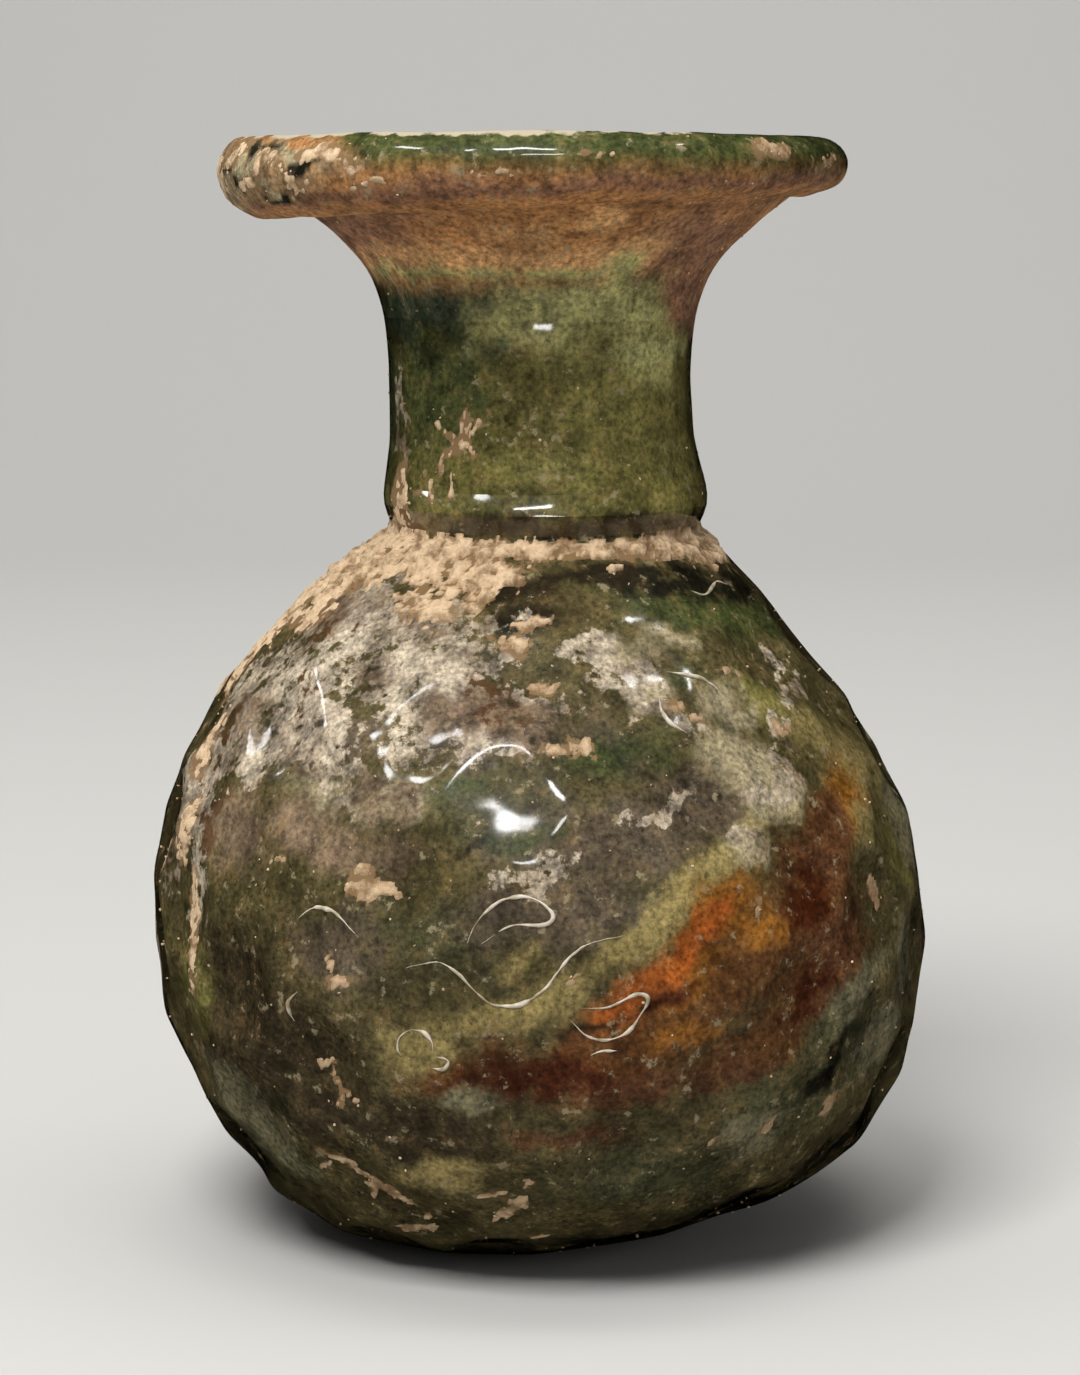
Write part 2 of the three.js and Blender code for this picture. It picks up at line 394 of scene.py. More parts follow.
def honeycomb_tree():
    """Presses a mould's staggered rows of round hollows into the plain body."""
    tree = bpy.data.node_groups.new("Press honeycomb", "GeometryNodeTree")
    sockets = {
        "Bottle": "Geometry", "Body line": "Object", "Glass": "Material", "Rows": "Int", "First row": "Int",
        "Last row": "Int", "Hollows per row": "Int", "Turn": "Float", "Hollow radius": "Float",
        "Hollow depth": "Float", "Wander": "Float", "Ridge": "Float", "Belly radius": "Float",
        "Belly height": "Float",
    }
    for name, kind in sockets.items():
        tree.interface.new_socket(name, in_out="INPUT", socket_type="NodeSocket" + kind)
    tree.interface.new_socket("Bottle", in_out="OUTPUT", socket_type="NodeSocketGeometry")
    given = add(tree, "NodeGroupInput").outputs
    calc = "ShaderNodeMath"

    # Which hollow a point is: its column and its row, and a number that only it has.
    index = add(tree, "GeometryNodeInputIndex")
    column = add(tree, calc, [index, given["Hollows per row"]], operation="MODULO")
    turns = add(tree, calc, [index, given["Hollows per row"]], operation="DIVIDE")
    floors = add(tree, calc, [turns], operation="FLOOR")
    row = add(tree, calc, [floors, given["First row"]], operation="ADD")
    skipped = add(tree, calc, [given["First row"], given["Hollows per row"]], operation="MULTIPLY")
    number = add(tree, calc, [index, skipped], operation="ADD")
    waves = []
    for pitch in (2.7, 4.1, 1.9, 3.3):
        phase = add(tree, calc, [number, pitch], operation="MULTIPLY")
        waves.append(add(tree, calc, [phase], operation="SINE"))
    stray, sidestep, swell, press = waves

    # How far up the body's line, and how far round.
    drift = add(tree, calc, [given["Wander"], 1 / (8 * MM)], operation="MULTIPLY")
    offset = add(tree, calc, [stray, drift, 0.5], operation="MULTIPLY_ADD")
    level = add(tree, calc, [row, offset], operation="ADD")
    climb = add(tree, calc, [level, given["Rows"]], operation="DIVIDE")
    line = add(tree, "GeometryNodeObjectInfo", {"Object": given["Body line"]})
    curve = add(tree, "GeometryNodeMeshToCurve", {"Mesh": line.outputs["Geometry"]})
    on = add(tree, "GeometryNodeSampleCurve", {"Curves": curve, "Factor": climb}, use_all_curves=True)
    spot = add(tree, "ShaderNodeSeparateXYZ", [on.outputs["Position"]])
    radius, height = spot.outputs["X"], spot.outputs["Z"]
    after = add(tree, calc, [row, 1.0], operation="ADD")
    odd = add(tree, calc, [after, 2.0], operation="MODULO")
    staggered = add(tree, calc, [odd, 0.5, column], operation="MULTIPLY_ADD")
    pitch = add(tree, calc, [2 * math.pi, given["Hollows per row"]], operation="DIVIDE")
    round_to = add(tree, calc, [staggered, pitch, given["Turn"]], operation="MULTIPLY_ADD")
    swing = add(tree, calc, [given["Wander"], given["Belly radius"]], operation="DIVIDE")
    angle = add(tree, calc, [sidestep, swing, round_to], operation="MULTIPLY_ADD")
    sine = add(tree, calc, [angle], operation="SINE")
    cosine = add(tree, calc, [angle], operation="COSINE")
    across = add(tree, calc, [radius, sine], operation="MULTIPLY")
    outward = add(tree, calc, [radius, cosine], operation="MULTIPLY")
    forward = add(tree, calc, [outward, -1.0], operation="MULTIPLY")
    centre = add(tree, "ShaderNodeCombineXYZ", [across, forward, height])

    # A hollow is smaller and shallower where the body is slimmer.
    girth = add(tree, calc, [radius, given["Belly radius"]], operation="DIVIDE")
    slim = add(tree, calc, [girth, 0.55, 0.45], operation="MULTIPLY_ADD")
    swollen = add(tree, calc, [swell, 0.08, 1.0], operation="MULTIPLY_ADD")
    size = add(tree, calc, [slim, swollen], operation="MULTIPLY")
    reach = add(tree, calc, [size, given["Hollow radius"]], operation="MULTIPLY")
    pressed = add(tree, calc, [press, 0.25, 1.0], operation="MULTIPLY_ADD")
    deepest = add(tree, calc, [girth, pressed], operation="MULTIPLY")
    depth = add(tree, calc, [deepest, given["Hollow depth"]], operation="MULTIPLY")

    # One point for each hollow, which keeps its reach and its depth.
    span = add(tree, calc, [given["Last row"], given["First row"]], operation="SUBTRACT")
    used_rows = add(tree, calc, [span, 1.0], operation="ADD")
    count = add(tree, calc, [used_rows, given["Hollows per row"]], operation="MULTIPLY")
    cells = add(tree, "GeometryNodePoints", {"Count": count, "Position": centre})
    for name, value in (("reach", reach), ("depth", depth)):
        cells = add(
            tree, "GeometryNodeStoreNamedAttribute", {"Geometry": cells, "Name": name, "Value": value},
            data_type="FLOAT", domain="POINT",
        )

    # Each hollow in turn deepens the body where it reaches further in than the ones before it.
    start = tree.nodes.new("GeometryNodeRepeatInput")
    end = tree.nodes.new("GeometryNodeRepeatOutput")
    start.pair_with_output(end)
    tree.links.new(pick(count.outputs, 0), start.inputs["Iterations"])
    tree.links.new(given["Bottle"], start.inputs["Geometry"])
    sampled = []
    for name, kind in (("position", "FLOAT_VECTOR"), ("reach", "FLOAT"), ("depth", "FLOAT")):
        value = add(tree, "GeometryNodeInputNamedAttribute", {"Name": name}, data_type=kind)
        sampled.append(
            add(
                tree, "GeometryNodeSampleIndex",
                {"Geometry": cells, "Value": value, "Index": start.outputs["Iteration"]}, data_type=kind,
            )
        )
    place = add(tree, "GeometryNodeInputPosition")
    away = add(tree, "ShaderNodeVectorMath", [place, sampled[0]], operation="DISTANCE")
    share = add(tree, calc, [away.outputs["Value"], sampled[1]], operation="DIVIDE")
    square = add(tree, calc, [share, share], operation="MULTIPLY")
    bowl = add(tree, calc, [1.0, square], operation="SUBTRACT")
    hollow = add(tree, calc, [bowl, sampled[2]], operation="MULTIPLY")
    so_far = add(tree, "GeometryNodeInputNamedAttribute", {"Name": "hollow"}, data_type="FLOAT")
    deeper = add(tree, calc, [so_far, hollow, given["Ridge"]], operation="SMOOTH_MAX")
    kept = add(
        tree, "GeometryNodeStoreNamedAttribute",
        {"Geometry": start.outputs["Geometry"], "Name": "hollow", "Value": deeper},
        data_type="FLOAT", domain="POINT",
    )
    tree.links.new(pick(kept.outputs, 0), end.inputs["Geometry"])

    # The outside of the body moves in towards the bottle's heart.
    heart = add(tree, "ShaderNodeCombineXYZ", {"Z": given["Belly height"]})
    inward = add(tree, "ShaderNodeVectorMath", [heart, place], operation="SUBTRACT")
    towards = add(tree, "ShaderNodeVectorMath", [inward], operation="NORMALIZE")
    total = add(tree, "GeometryNodeInputNamedAttribute", {"Name": "hollow"}, data_type="FLOAT")
    move = add(tree, "ShaderNodeVectorMath", {0: towards, "Scale": total}, operation="SCALE")
    region = add(tree, "GeometryNodeInputNamedAttribute", {"Name": "region"}, data_type="FLOAT")
    body = add(tree, calc, [region, 0.5], operation="LESS_THAN")
    moved = add(
        tree, "GeometryNodeSetPosition",
        {"Geometry": end.outputs["Geometry"], "Selection": body, "Offset": move},
    )
    real = add(tree, "GeometryNodeRealizeInstances", {"Geometry": moved})
    glazed = add(tree, "GeometryNodeSetMaterial", {"Geometry": real, "Material": given["Glass"]})
    add(tree, "NodeGroupOutput", {"Bottle": glazed})
    return tree


def grown(thing, tree, values):
    """The plain mesh that a Geometry Nodes tree makes of an object, whose own mesh it replaces."""
    modifier = thing.modifiers.new(tree.name, "NODES")
    modifier.node_group = tree
    for item in tree.interface.items_tree:
        if item.in_out == "INPUT" and item.name in values:
            modifier[item.identifier] = values[item.name]
    made = bpy.data.meshes.new_from_object(
        thing.evaluated_get(bpy.context.evaluated_depsgraph_get())
    )
    thing.modifiers.remove(modifier)
    plain, thing.data = thing.data, made
    bpy.data.meshes.remove(plain)
    return made


# ---------------------------------------------------------------- handwork and wear


AXIS_DRIFT = (
    # height up the bottle, sideways drift of the turning axis there
    (0, -2.9), (7, 0.4), (25, 0), (46.5, -0.9), (57, 0.45), (68, 0), (78, 0), (85, -0.55),
)


def eased(table, height):
    """A table of (height, value) in millimetres, held at its ends and eased in between."""
    value = np.full(len(height), float(table[0][1]))
    for (low, start), (high, end) in zip(table, table[1:]):
        share = smoothstep(low, high, height)
        value = np.where(height >= low, start + (end - start) * share, value)
    return value


def leaned(place, region, form):
    """The turned form as the hand left it: an uneven roll, a sagging rim and a drifting axis."""
    x, y, z = place.T
    radius = np.maximum(np.hypot(x, y), 1e-9)
    outward = smoothstep(form.crease_radius, form.rim_radius - 2.6 * MM, radius)
    roll = outward * np.minimum(HEIGHT - z, form.roll_height) / form.roll_height
    rimward = smoothstep(HEIGHT - form.waist_drop, HEIGHT, z)
    up = z + np.where(region == 1, form.roll_uneven * x / radius * roll, 0)
    up -= form.rim_sag * (x / form.rim_radius) ** 2 * rimward
    out = np.column_stack([x + MM * eased(AXIS_DRIFT, z / MM), y, np.maximum(up, 0)])
    middle = (out.min(0) + out.max(0)) / 2
    return out - [middle[0], middle[1], 0]


def cloud(place, size, seed, octaves=4):
    """Smooth noise from about -1 to 1 at each place, with swells of the given size."""
    shift = Vector((seed * 7.31, seed * 3.77, seed * 5.13))
    return np.array(
        [noise.fractal(Vector(p) / size + shift, 1.0, 2.1, octaves) for p in place.tolist()]
    )


RIPPLE = 0.09  # how far the slow ripples draw the glass in on average, in millimetres


def rippled(mesh, region):
    """Where the outside lies once slow ripples, left by blowing, draw it in a little."""
    points, ways = places(mesh), np.empty(len(mesh.vertices) * 3)
    mesh.vertices.foreach_get("normal", ways)
    draw = np.where(region < 2, smoothstep(0, 3 * MM, points[:, 2]), 0) * RIPPLE * MM
    draw *= 1 + cloud(points, 4.2 * MM, 31, 2)
    return points - ways.reshape(-1, 3) * np.maximum(draw, 0)[:, None]


class Skin:
    """Places on the bottle's outside, for putting wear on them.

    Angles are in degrees from the front, positive to the right, and heights in millimetres.
    """

    def __init__(self, place, angle, climb, outside, form):
        self.place = place
        self.angle = (angle + 180) % 360 - 180
        self.climb = climb
        self.outside = outside
        self.radius = np.hypot(place[:, 0], place[:, 1]) / MM
        self.height = place[:, 2] / MM
        outer = np.vstack([body_line(form), neck_line(form), roll_line(form)]) / MM
        rising = np.maximum.accumulate(outer[:, 1]) + 1e-6 * np.arange(len(outer))
        self.steps = rising, form.foot_radius / MM + lengths_along(outer)
        self.sway = [
            cloud(place, 3.2 * MM, 11 + k, 2) + 0.6 * cloud(place, 1.1 * MM, 21 + k, 3) for k in (0, 1)
        ]

    def within(self, strokes, sway=0.6):
        """How far inside the nearest stroke: 1 at its heart, 0 on its edge, down to -1 outside.

        A stroke is (angle, height, half its width, half its height, lean in degrees). Sway is how
        far in millimetres a stroke's outline strays from a plain oval.
        """
        depth = np.full(len(self.angle), -1.0)
        for angle, height, wide, tall, lean in strokes:
            round_by = (self.angle - angle + 180) % 360 - 180
            across = np.radians(round_by) * self.radius + sway * self.sway[0]
            up = self.climb - np.interp(height, *self.steps) + sway * self.sway[1]
            cos, sin = math.cos(math.radians(lean)), math.sin(math.radians(lean))
            far = np.hypot((across * cos + up * sin) / wide, (up * cos - across * sin) / tall)
            depth = np.maximum(depth, np.where(np.abs(round_by) < 100, 1 - far, -1))
        return np.where(self.outside, depth, -1)

    def belt(self, low, high, soft):
        """1 well between two heights, 0 at them, and -1 by the soft width beyond them."""
        inside = np.minimum(self.height - low, high - self.height)
        return np.where(self.outside, np.clip(inside / soft, -1, 1), -1)


# The glass is laid in with washes, broad ones first. A wash is a colour, the softness of its edge,
# and its strokes: (angle, height, half width, half height, lean in degrees).
WASHES = (
    # the body
    # Low on the left, partly painted shade that darkens towards the bottom.
    ("umber_and_low_shade", 0.7, ((-45, 20, 10, 7, 0), (-33, 14, 9, 4, 0), (-18, 13, 7, 3, 0), (-47, 24, 6, 4, 0))),
    ("moss", 0.7, ((-15, 28.5, 6, 2.5, 0), (18, 10, 9, 4, 0), (38, 14, 7, 4, 10), (12, 41.5, 6, 2.6, 0))),
    ("moss", 0.7, ((-50, 10, 6, 5, 40), (-8, 38, 5, 2.2, 10), (50, 20, 6, 6, 0), (140, 25, 30, 14, 20))),
    # Under the body: its darkest glass, darkened further as painted shade.
    ("murk_and_shade", 0.7, ((48, 5, 12, 3.4, 0), (20, 2.6, 9, 2.2, 0), (62, 9, 5, 3, 30), (100, 4, 20, 4, 0))),
    ("murk_and_shade", 0.7, ((0, 1, 9, 1.6, 0), (-150, 2, 30, 3, 0), (-80, 6, 8, 6, 0))),
    ("haze", 0.7, ((14, 36, 10, 3.6, 8), (2, 31, 8, 3, 12), (26, 38, 5, 4, 0), (-28, 27, 5, 3, 0))),
    ("haze", 0.7, ((-4, 43, 8, 3, 0), (-35, 42, 5, 3, 0), (170, 38, 16, 8, 10))),
    ("reed", 0.8, ((62, 40, 3, 6, 0), (70, 34, 3, 7, 0), (50, 44, 3, 3, 0), (-60, 22, 3, 4, 0))),
    ("dust", 0.9, ((-52, 35, 5, 3, 0), (-38, 36, 5, 2.4, 0), (-26, 34.6, 5, 2, 0))),
    ("straw", 0.8, ((60, 41, 5, 3.4, -30), (70, 38, 4, 5, 0))),
    # the back and the sides
    ("umber_and_low_shade", 0.8, ((118, 14, 12, 6, 0), (-128, 20, 12, 6, 0), (178, 12, 12, 5, 0), (-95, 30, 6, 8, 0))),
    ("moss", 0.8, ((-168, 36, 9, 5, 0), (98, 32, 7, 6, 0), (-110, 42, 8, 3, 0), (150, 16, 8, 4, -20))),
    ("haze", 0.8, ((-150, 44, 10, 4, 0), (116, 44, 8, 4, 0), (155, 48, 8, 2, 0), (-105, 24, 7, 4, 20))),
    ("straw", 0.8, (
        (140, 33, 10, 1.6, 15), (-158, 29, 10, 1.6, -15), (90, 18, 6, 2, 20), (-120, 12, 7, 2, -20),
    )),
    ("russet", 0.8, (
        (150, 28, 9, 3, 15), (176, 24, 9, 3, -8), (-162, 22, 7, 2.4, -20), (84, 26, 4, 5, 0),
    )),
    ("ember", 0.8, ((158, 26, 5, 1.6, 10), (-174, 22, 5, 1.2, -10))),
    ("honey", 0.8, ((146, 29.6, 4, 1.4, 15), (-134, 38, 4, 2, 20))),
    ("reed", 0.9, ((120, 64, 8, 6, 0), (-160, 66, 9, 7, 0))),
    # the stained band: brown glass under a straw edge, with a golden heart
    ("russet", 0.6, (
        (-4, 18.6, 8, 2.2, 0), (10, 20, 9, 3, 12), (20, 23.4, 8, 3.6, 25), (31, 26.6, 7, 5, 20),
    )),
    ("russet", 0.6, ((42, 29.5, 6, 5, 0), (45, 24.4, 6, 3, 20), (30, 19.6, 8, 2, 15), (50, 35, 3, 3, 0))),
    ("straw", 0.45, ((-17, 20.8, 3.6, 1.6, 10), (-6, 22.6, 4, 1.5, 20), (2, 24.7, 4, 1.5, 25))),
    ("straw", 0.45, (
        (11, 27.4, 4, 1.5, 27), (19, 31, 4.2, 1.5, 36), (27, 33.2, 3.4, 1.3, 22), (36, 36, 3, 1.2, 30),
    )),
    ("straw", 0.7, ((-17, 10, 4, 1.6, 20), (-3, 27, 2, 0.8, 20), (62, 37, 3, 4, -30))),
    ("honey", 0.6, ((27, 30.8, 4, 1.8, 25), (33, 29, 3, 1.6, 0), (20, 25, 4, 1.4, 30))),
    ("honey", 0.8, ((22, 21.4, 4, 1, 10), (58, 37, 2.4, 3, -30))),
    ("rust", 0.6, (
        (44, 32.5, 4, 3, 0), (48, 27, 4, 3, 0), (52, 35.5, 2.6, 2.6, 0), (15, 17.6, 8, 1.6, 8),
    )),
    ("rust", 0.6, ((26, 17.4, 5, 1.2, 15), (4, 13.4, 5, 1.2, 0), (44, 22.5, 5, 1.6, 20))),
    ("ember", 0.6, (
        (-1, 18.2, 8, 2, 6), (17, 24.4, 3.4, 1, 15), (41, 23, 3.4, 1.6, 25), (41, 30.4, 3, 2.4, 0),
    )),
    ("amber", 0.55, (
        (18, 27.2, 3, 1.7, 38), (9.4, 22.6, 2.6, 1.3, 5), (24, 29.6, 2.8, 1.1, 35), (13, 25, 2, 1.2, 30),
    )),
    ("sage", 0.6, (
        (52, 22.5, 4.4, 1.8, 35), (60, 18, 4, 2.4, 45), (33, 12.2, 3.2, 2.4, 0), (67, 24, 2.4, 4, 0),
    )),
    ("sage", 0.6, ((-10, 16.6, 2.6, 1.2, 0), (78, 32, 3, 9, 0), (-52, 12, 3, 6, 40))),
    ("murk_and_shade", 0.5, (
        (46, 17, 4, 1.3, 50), (-45.3, 21.7, 0.5, 0.5, 0), (-8, 35.4, 2, 0.5, 20), (6, 21.6, 3, 0.5, 10),
    )),
    ("milk", 0.6, (
        (41, 37.6, 3, 1.8, 20), (33, 34.6, 2, 1.6, 40), (34, 41, 3, 2.4, 0), (-22, 38.4, 4, 2, 0),
    )),
    ("milk", 0.6, (
        (31, 49.6, 2.4, 1.4, -20), (24, 45.6, 2, 2, 0), (39, 44.4, 2.2, 2.6, 0), (38, 40.4, 2.4, 2, 0),
    )),
    ("milk", 0.8, ((21, 48.4, 3, 1.2, 0), (-36, 38.6, 3, 1.6, 0))),
    ("bottle_green", 0.6, (
        (44, 51, 7, 2.6, 0), (28, 52.6, 6, 1.2, 0), (60, 50, 6, 3, 0), (14, 41.6, 4, 1.6, 0),
    )),
    ("bottle_green", 0.6, ((34, 46.6, 2, 1.2, 0), (-10, 39.6, 3, 1.4, 15), (-1, 36.2, 3, 1, 15))),
    ("murk_and_shade", 0.6, ((40, 52.8, 9, 1.4, 0), (62, 52, 7, 2, 0))),
    ("murk_and_shade", 0.5, (
        (-8, 52.6, 4, 1.2, 0), (-1, 51, 3, 2, 0), (8, 53.2, 5, 0.8, 0), (24, 53.8, 6, 0.5, 0),
    )),
    # the neck and the funnel
    ("bottle_green", 0.7, ((-50, 68, 4, 7, 0), (-32, 68, 3, 5, 0), (-110, 66, 14, 8, 0))),
    ("teal", 0.5, (
        (-58, 73, 5, 2.4, 0), (-36, 73, 5, 2.4, 0), (-20, 73.6, 5, 1.2, 0), (0, 70.3, 5, 0.5, 0),
    )),
    ("reed", 0.7, ((38, 66, 6, 8, 0), (55, 60, 5, 4, 0), (20, 70, 5, 3, 0), (0, 61, 6, 1.4, 0))),
    ("pistachio", 0.7, (
        (-2, 72.6, 7, 2.6, 0), (12, 73.4, 7, 2.4, 0), (28, 73, 7, 3, 0), (44, 71, 5, 3.4, 0),
    )),
    ("pistachio", 0.5, ((-30, 75.3, 8, 0.6, 0), (-52, 75.4, 6, 0.5, 0), (10, 75, 12, 0.7, 0))),
    ("straw", 0.6, (
        (-22, 75, 6, 0.4, 0), (20, 75.4, 6, 0.5, 0), (-14, 75.2, 6, 0.6, 0), (-45, 75.4, 6, 0.5, 0),
    )),
    # Painted shade in the groove under the neck's bulge.
    ("murk_and_shade", 0.4, ((-18, 56.8, 4, 1, 0), (-2, 56.7, 4, 1, 0), (14, 56.7, 4, 1, 0), (30, 56.8, 4, 1, 0))),
    ("murk_and_shade", 0.4, ((46, 56.9, 4, 0.6, 0), (62, 57, 4, 0.6, 0))),
)

# Pale, lilac-grey skin that weathering has lifted off the glass.
FILM = (
    (-66, 64, 0.6, 3, 0), (-61, 60.4, 0.6, 1.8, 0), (14, 48.6, 2.4, 0.9, 0), (23, 47.8, 1.6, 1, 0),
    (-52, 51, 5, 3, 0), (-50, 45.6, 4, 3, 0), (-42, 49, 4, 3, 0), (-60, 46, 3, 4, 0),
    (-40, 42.6, 4, 2.4, 0),
    (-52, 40, 2.4, 2, 0), (-33, 39.6, 3, 1.6, 0), (-70, 44, 2, 3, 0), (46, 41, 1.4, 2.4, -30),
    (-20, 47.4, 5.5, 3.6, 0), (-38, 47, 3, 1.8, 20), (-27, 51, 4, 1.4, 0), (-14, 44, 5, 3, 0),
    (-3, 44.6, 3.4, 2, 0), (-62, 38, 2.6, 6, -10), (-61, 30.6, 2, 4, 8), (-72, 34, 2, 5, 0),
    (-45, 42, 1.6, 2.6, 0), (-24, 38.5, 4, 1.8, 0), (-12, 50.5, 3, 1.6, 0),
    (0, 42, 2.4, 1.2, 0), (17, 46.4, 3, 1.2, -10), (26, 44, 1.4, 2.4, 30),
    (40, 38.4, 2, 1.4, 0), (33, 34.8, 1.2, 1.4, 30), (0, 33.6, 3, 1, 20), (20, 37.6, 3, 0.8, 25),
    (-52, 46, 2.4, 3, 30), (-7, 36.6, 2, 0.6, 10), (140, 44, 8, 4, 10), (-140, 36, 7, 5, -20),
    (60, 45, 2, 3, -50), (100, 40, 3, 5, 0), (175, 20, 4, 2, 10), (-110, 18, 3, 2, 0),
    (120, 48, 5, 2.4, 0), (112, 43, 3, 2, 30), (160, 50, 6, 1.6, 0), (-165, 46, 5, 2.4, -10),
    (-150, 50, 5, 2, 0),
    (-125, 46, 4, 3, 20), (-132, 31, 2, 4, -10), (-100, 48, 4, 3, 0), (-95, 38, 2.4, 4, 0),
    (-118, 40, 3, 1.4, 20),
    (86, 30, 1.4, 4, 0), (130, 38, 2.4, 1.4, 20), (150, 40, 3, 1, -20), (-175, 40, 3, 1.6, 10),
    (-88, 22, 2, 3, 0),
    (128, 20, 2, 1.4, 30), (160, 9, 4, 1.4, 0), (-140, 10, 4, 1.6, 10), (100, 10, 3, 1.4, 0),
)

# Dry soil that still clings, laid on as a thin crust.
SOIL = (
    # round the neck's foot and over the left shoulder
    (-72, 53, 6, 2.6, 0), (-54, 54.2, 5, 2, 0), (-38, 54, 4.5, 1.6, 0), (-24, 53.4, 4.5, 2.2, 0),
    (-80, 48, 2.4, 6, 0), (-16, 52, 1.6, 0.7, 20), (-66, 50.4, 2.4, 2.4, 20), (-62, 58.5, 1.8, 2, 0),
    (-28, 51.2, 3, 1.2, -20), (-120, 53, 12, 3, 0), (160, 53.6, 9, 1.6, 0), (70, 54, 4, 1, 0),
    # a star-shaped splash on the neck
    (-34, 63, 0.9, 0.6, 10), (-39, 64.1, 1.4, 0.22, -30), (-25, 64.7, 2.2, 0.2, 32),
    (-39, 61.8, 1, 0.22, 60),
    (-28, 62.2, 1, 0.22, -40), (-31, 64.8, 1, 0.22, 60), (-46, 59.6, 0.25, 1.2, 15),
    (-36, 60, 0.2, 0.8, -10),
    # splashes down the body
    (-26, 31.8, 1.2, 1.1, 30), (-23, 31.9, 1.8, 0.35, -4), (-25, 33.4, 0.9, 0.7, 50),
    (-29, 25.3, 1.6, 0.5, 10),
    (-31, 26.8, 0.6, 0.8, 0), (-33, 18.4, 1.2, 0.35, 10), (-31, 17, 0.35, 1.2, 20),
    (-28.5, 15.8, 0.8, 0.25, -35),
    (-31, 15.2, 0.3, 0.8, 0), (-32, 9.4, 2.4, 0.5, -35), (-27, 7.6, 1.8, 0.4, -45),
    (-31, 7.4, 1.4, 0.3, 50),
    (-37, 9.2, 1.2, 0.4, 10), (-24, 3.9, 1.6, 0.7, 0), (-21, 5.3, 0.5, 0.4, 0), (-5, 7.4, 0.9, 0.7, 20),
    (-3, 9.6, 0.7, 0.5, 0), (-9, 8.4, 0.7, 0.35, 0), (-7, 6.3, 0.9, 0.6, 30), (1, 4, 0.5, 0.4, 0),
    # the crust on the left edge
    (-74, 31.5, 1, 2.4, 0), (-62, 28, 1, 3.4, 8), (-60, 25, 0.8, 1.8, 0), (-66, 34, 1.2, 3, -10),
    (-70, 40, 1.4, 3, -20), (-41, 35.4, 0.4, 0.9, -20), (-40, 33, 1.3, 0.3, 10), (-61, 22.6, 0.3, 1, 0),
    # flakes on the shoulder and the right side
    (5, 42.2, 1.2, 0.6, 10), (9, 42.4, 1, 0.9, 40), (0, 50.4, 1.1, 0.7, 0), (-4, 49, 1.2, 0.9, 0),
    (2, 46.6, 0.9, 0.5, 0), (29, 44.3, 0.7, 0.6, 0), (31, 43.7, 0.5, 0.3, 0), (43, 46.6, 1.5, 0.3, -35),
    (21, 53.6, 0.8, 0.25, 20), (49, 42.2, 0.9, 0.35, -40), (33, 29.9, 0.3, 0.6, 0),
    (59, 29.4, 0.45, 1.6, 10),
    (36, 12.8, 0.9, 0.5, 20), (48, 14, 1.6, 0.4, 60), (5, 26.2, 0.9, 0.25, 60), (26, 12.3, 0.5, 0.35, 0),
    # the back and the sides
    (-100, 50, 4, 2.4, 0), (-92, 45, 2, 4, 10), (-98, 36, 1, 4, -5), (-90, 27, 0.8, 3, 5),
    (-112, 46, 1.6, 1, 30),
    (-135, 51, 5, 1.2, 0), (-150, 40, 1.4, 0.5, 30), (-146, 38.6, 0.6, 1.2, 0), (-122, 33, 1.2, 0.4, -30),
    (-128, 25, 0.5, 1.4, 20), (-108, 14, 1.8, 0.5, 40), (-150, 18, 1, 0.8, 0), (-165, 32, 0.9, 0.4, 10),
    (180, 44, 1.6, 0.6, -20), (172, 33, 0.6, 1.2, 0), (168, 15, 2, 0.5, -30), (150, 36, 1.2, 0.9, 20),
    (138, 45, 1.4, 0.5, 10), (128, 28, 0.5, 1.6, 10), (120, 51, 4, 0.9, 0), (112, 34, 1.2, 0.4, 50),
    (104, 20, 1.6, 0.5, 40), (92, 12, 1.2, 0.7, 20), (96, 46, 0.8, 0.5, 0), (135, 8, 2, 0.6, 10),
    (140, 62, 0.9, 0.4, 30),
    (-140, 60, 0.5, 1.6, 10), (-105, 60, 1.4, 2.4, 0), (-100, 66, 0.6, 2, 0), (170, 59.5, 1, 1, 0),
    # the roll's left end
    (-70, 85.2, 3, 0.6, 10), (-62, 83.4, 2.4, 0.6, -20), (-56, 85, 2, 0.5, 20), (-48, 84, 1.6, 0.4, -30),
    (-40, 85.2, 3, 0.5, 0), (-45, 83, 2, 0.3, 20), (-34, 84.4, 1.6, 0.3, 30), (-30, 83.2, 2, 0.25, 10),
    (10, 84.8, 1, 0.25, 15), (12, 84.6, 1.2, 0.2, -12), (-6, 83.6, 2, 0.2, 5), (47, 85.4, 2, 0.9, 0),
    (-90, 84, 8, 2, 0), (110, 84, 6, 1.4, 0), (180, 84.4, 9, 1.2, 0), (66, 84, 1.6, 0.5, 30),
)

# Where brown earth has stained the glass without building up.
STAIN = (
    (-52, 49.6, 4, 1.6, 0), (-47, 45, 2, 3, 20), (-40, 51, 3, 1, 0), (-66, 39, 2.2, 6, -20),
    (-58, 35, 1.6, 3, -10),
    (-32, 50.6, 3, 1, 0), (-8, 45, 3, 3, 0),
)
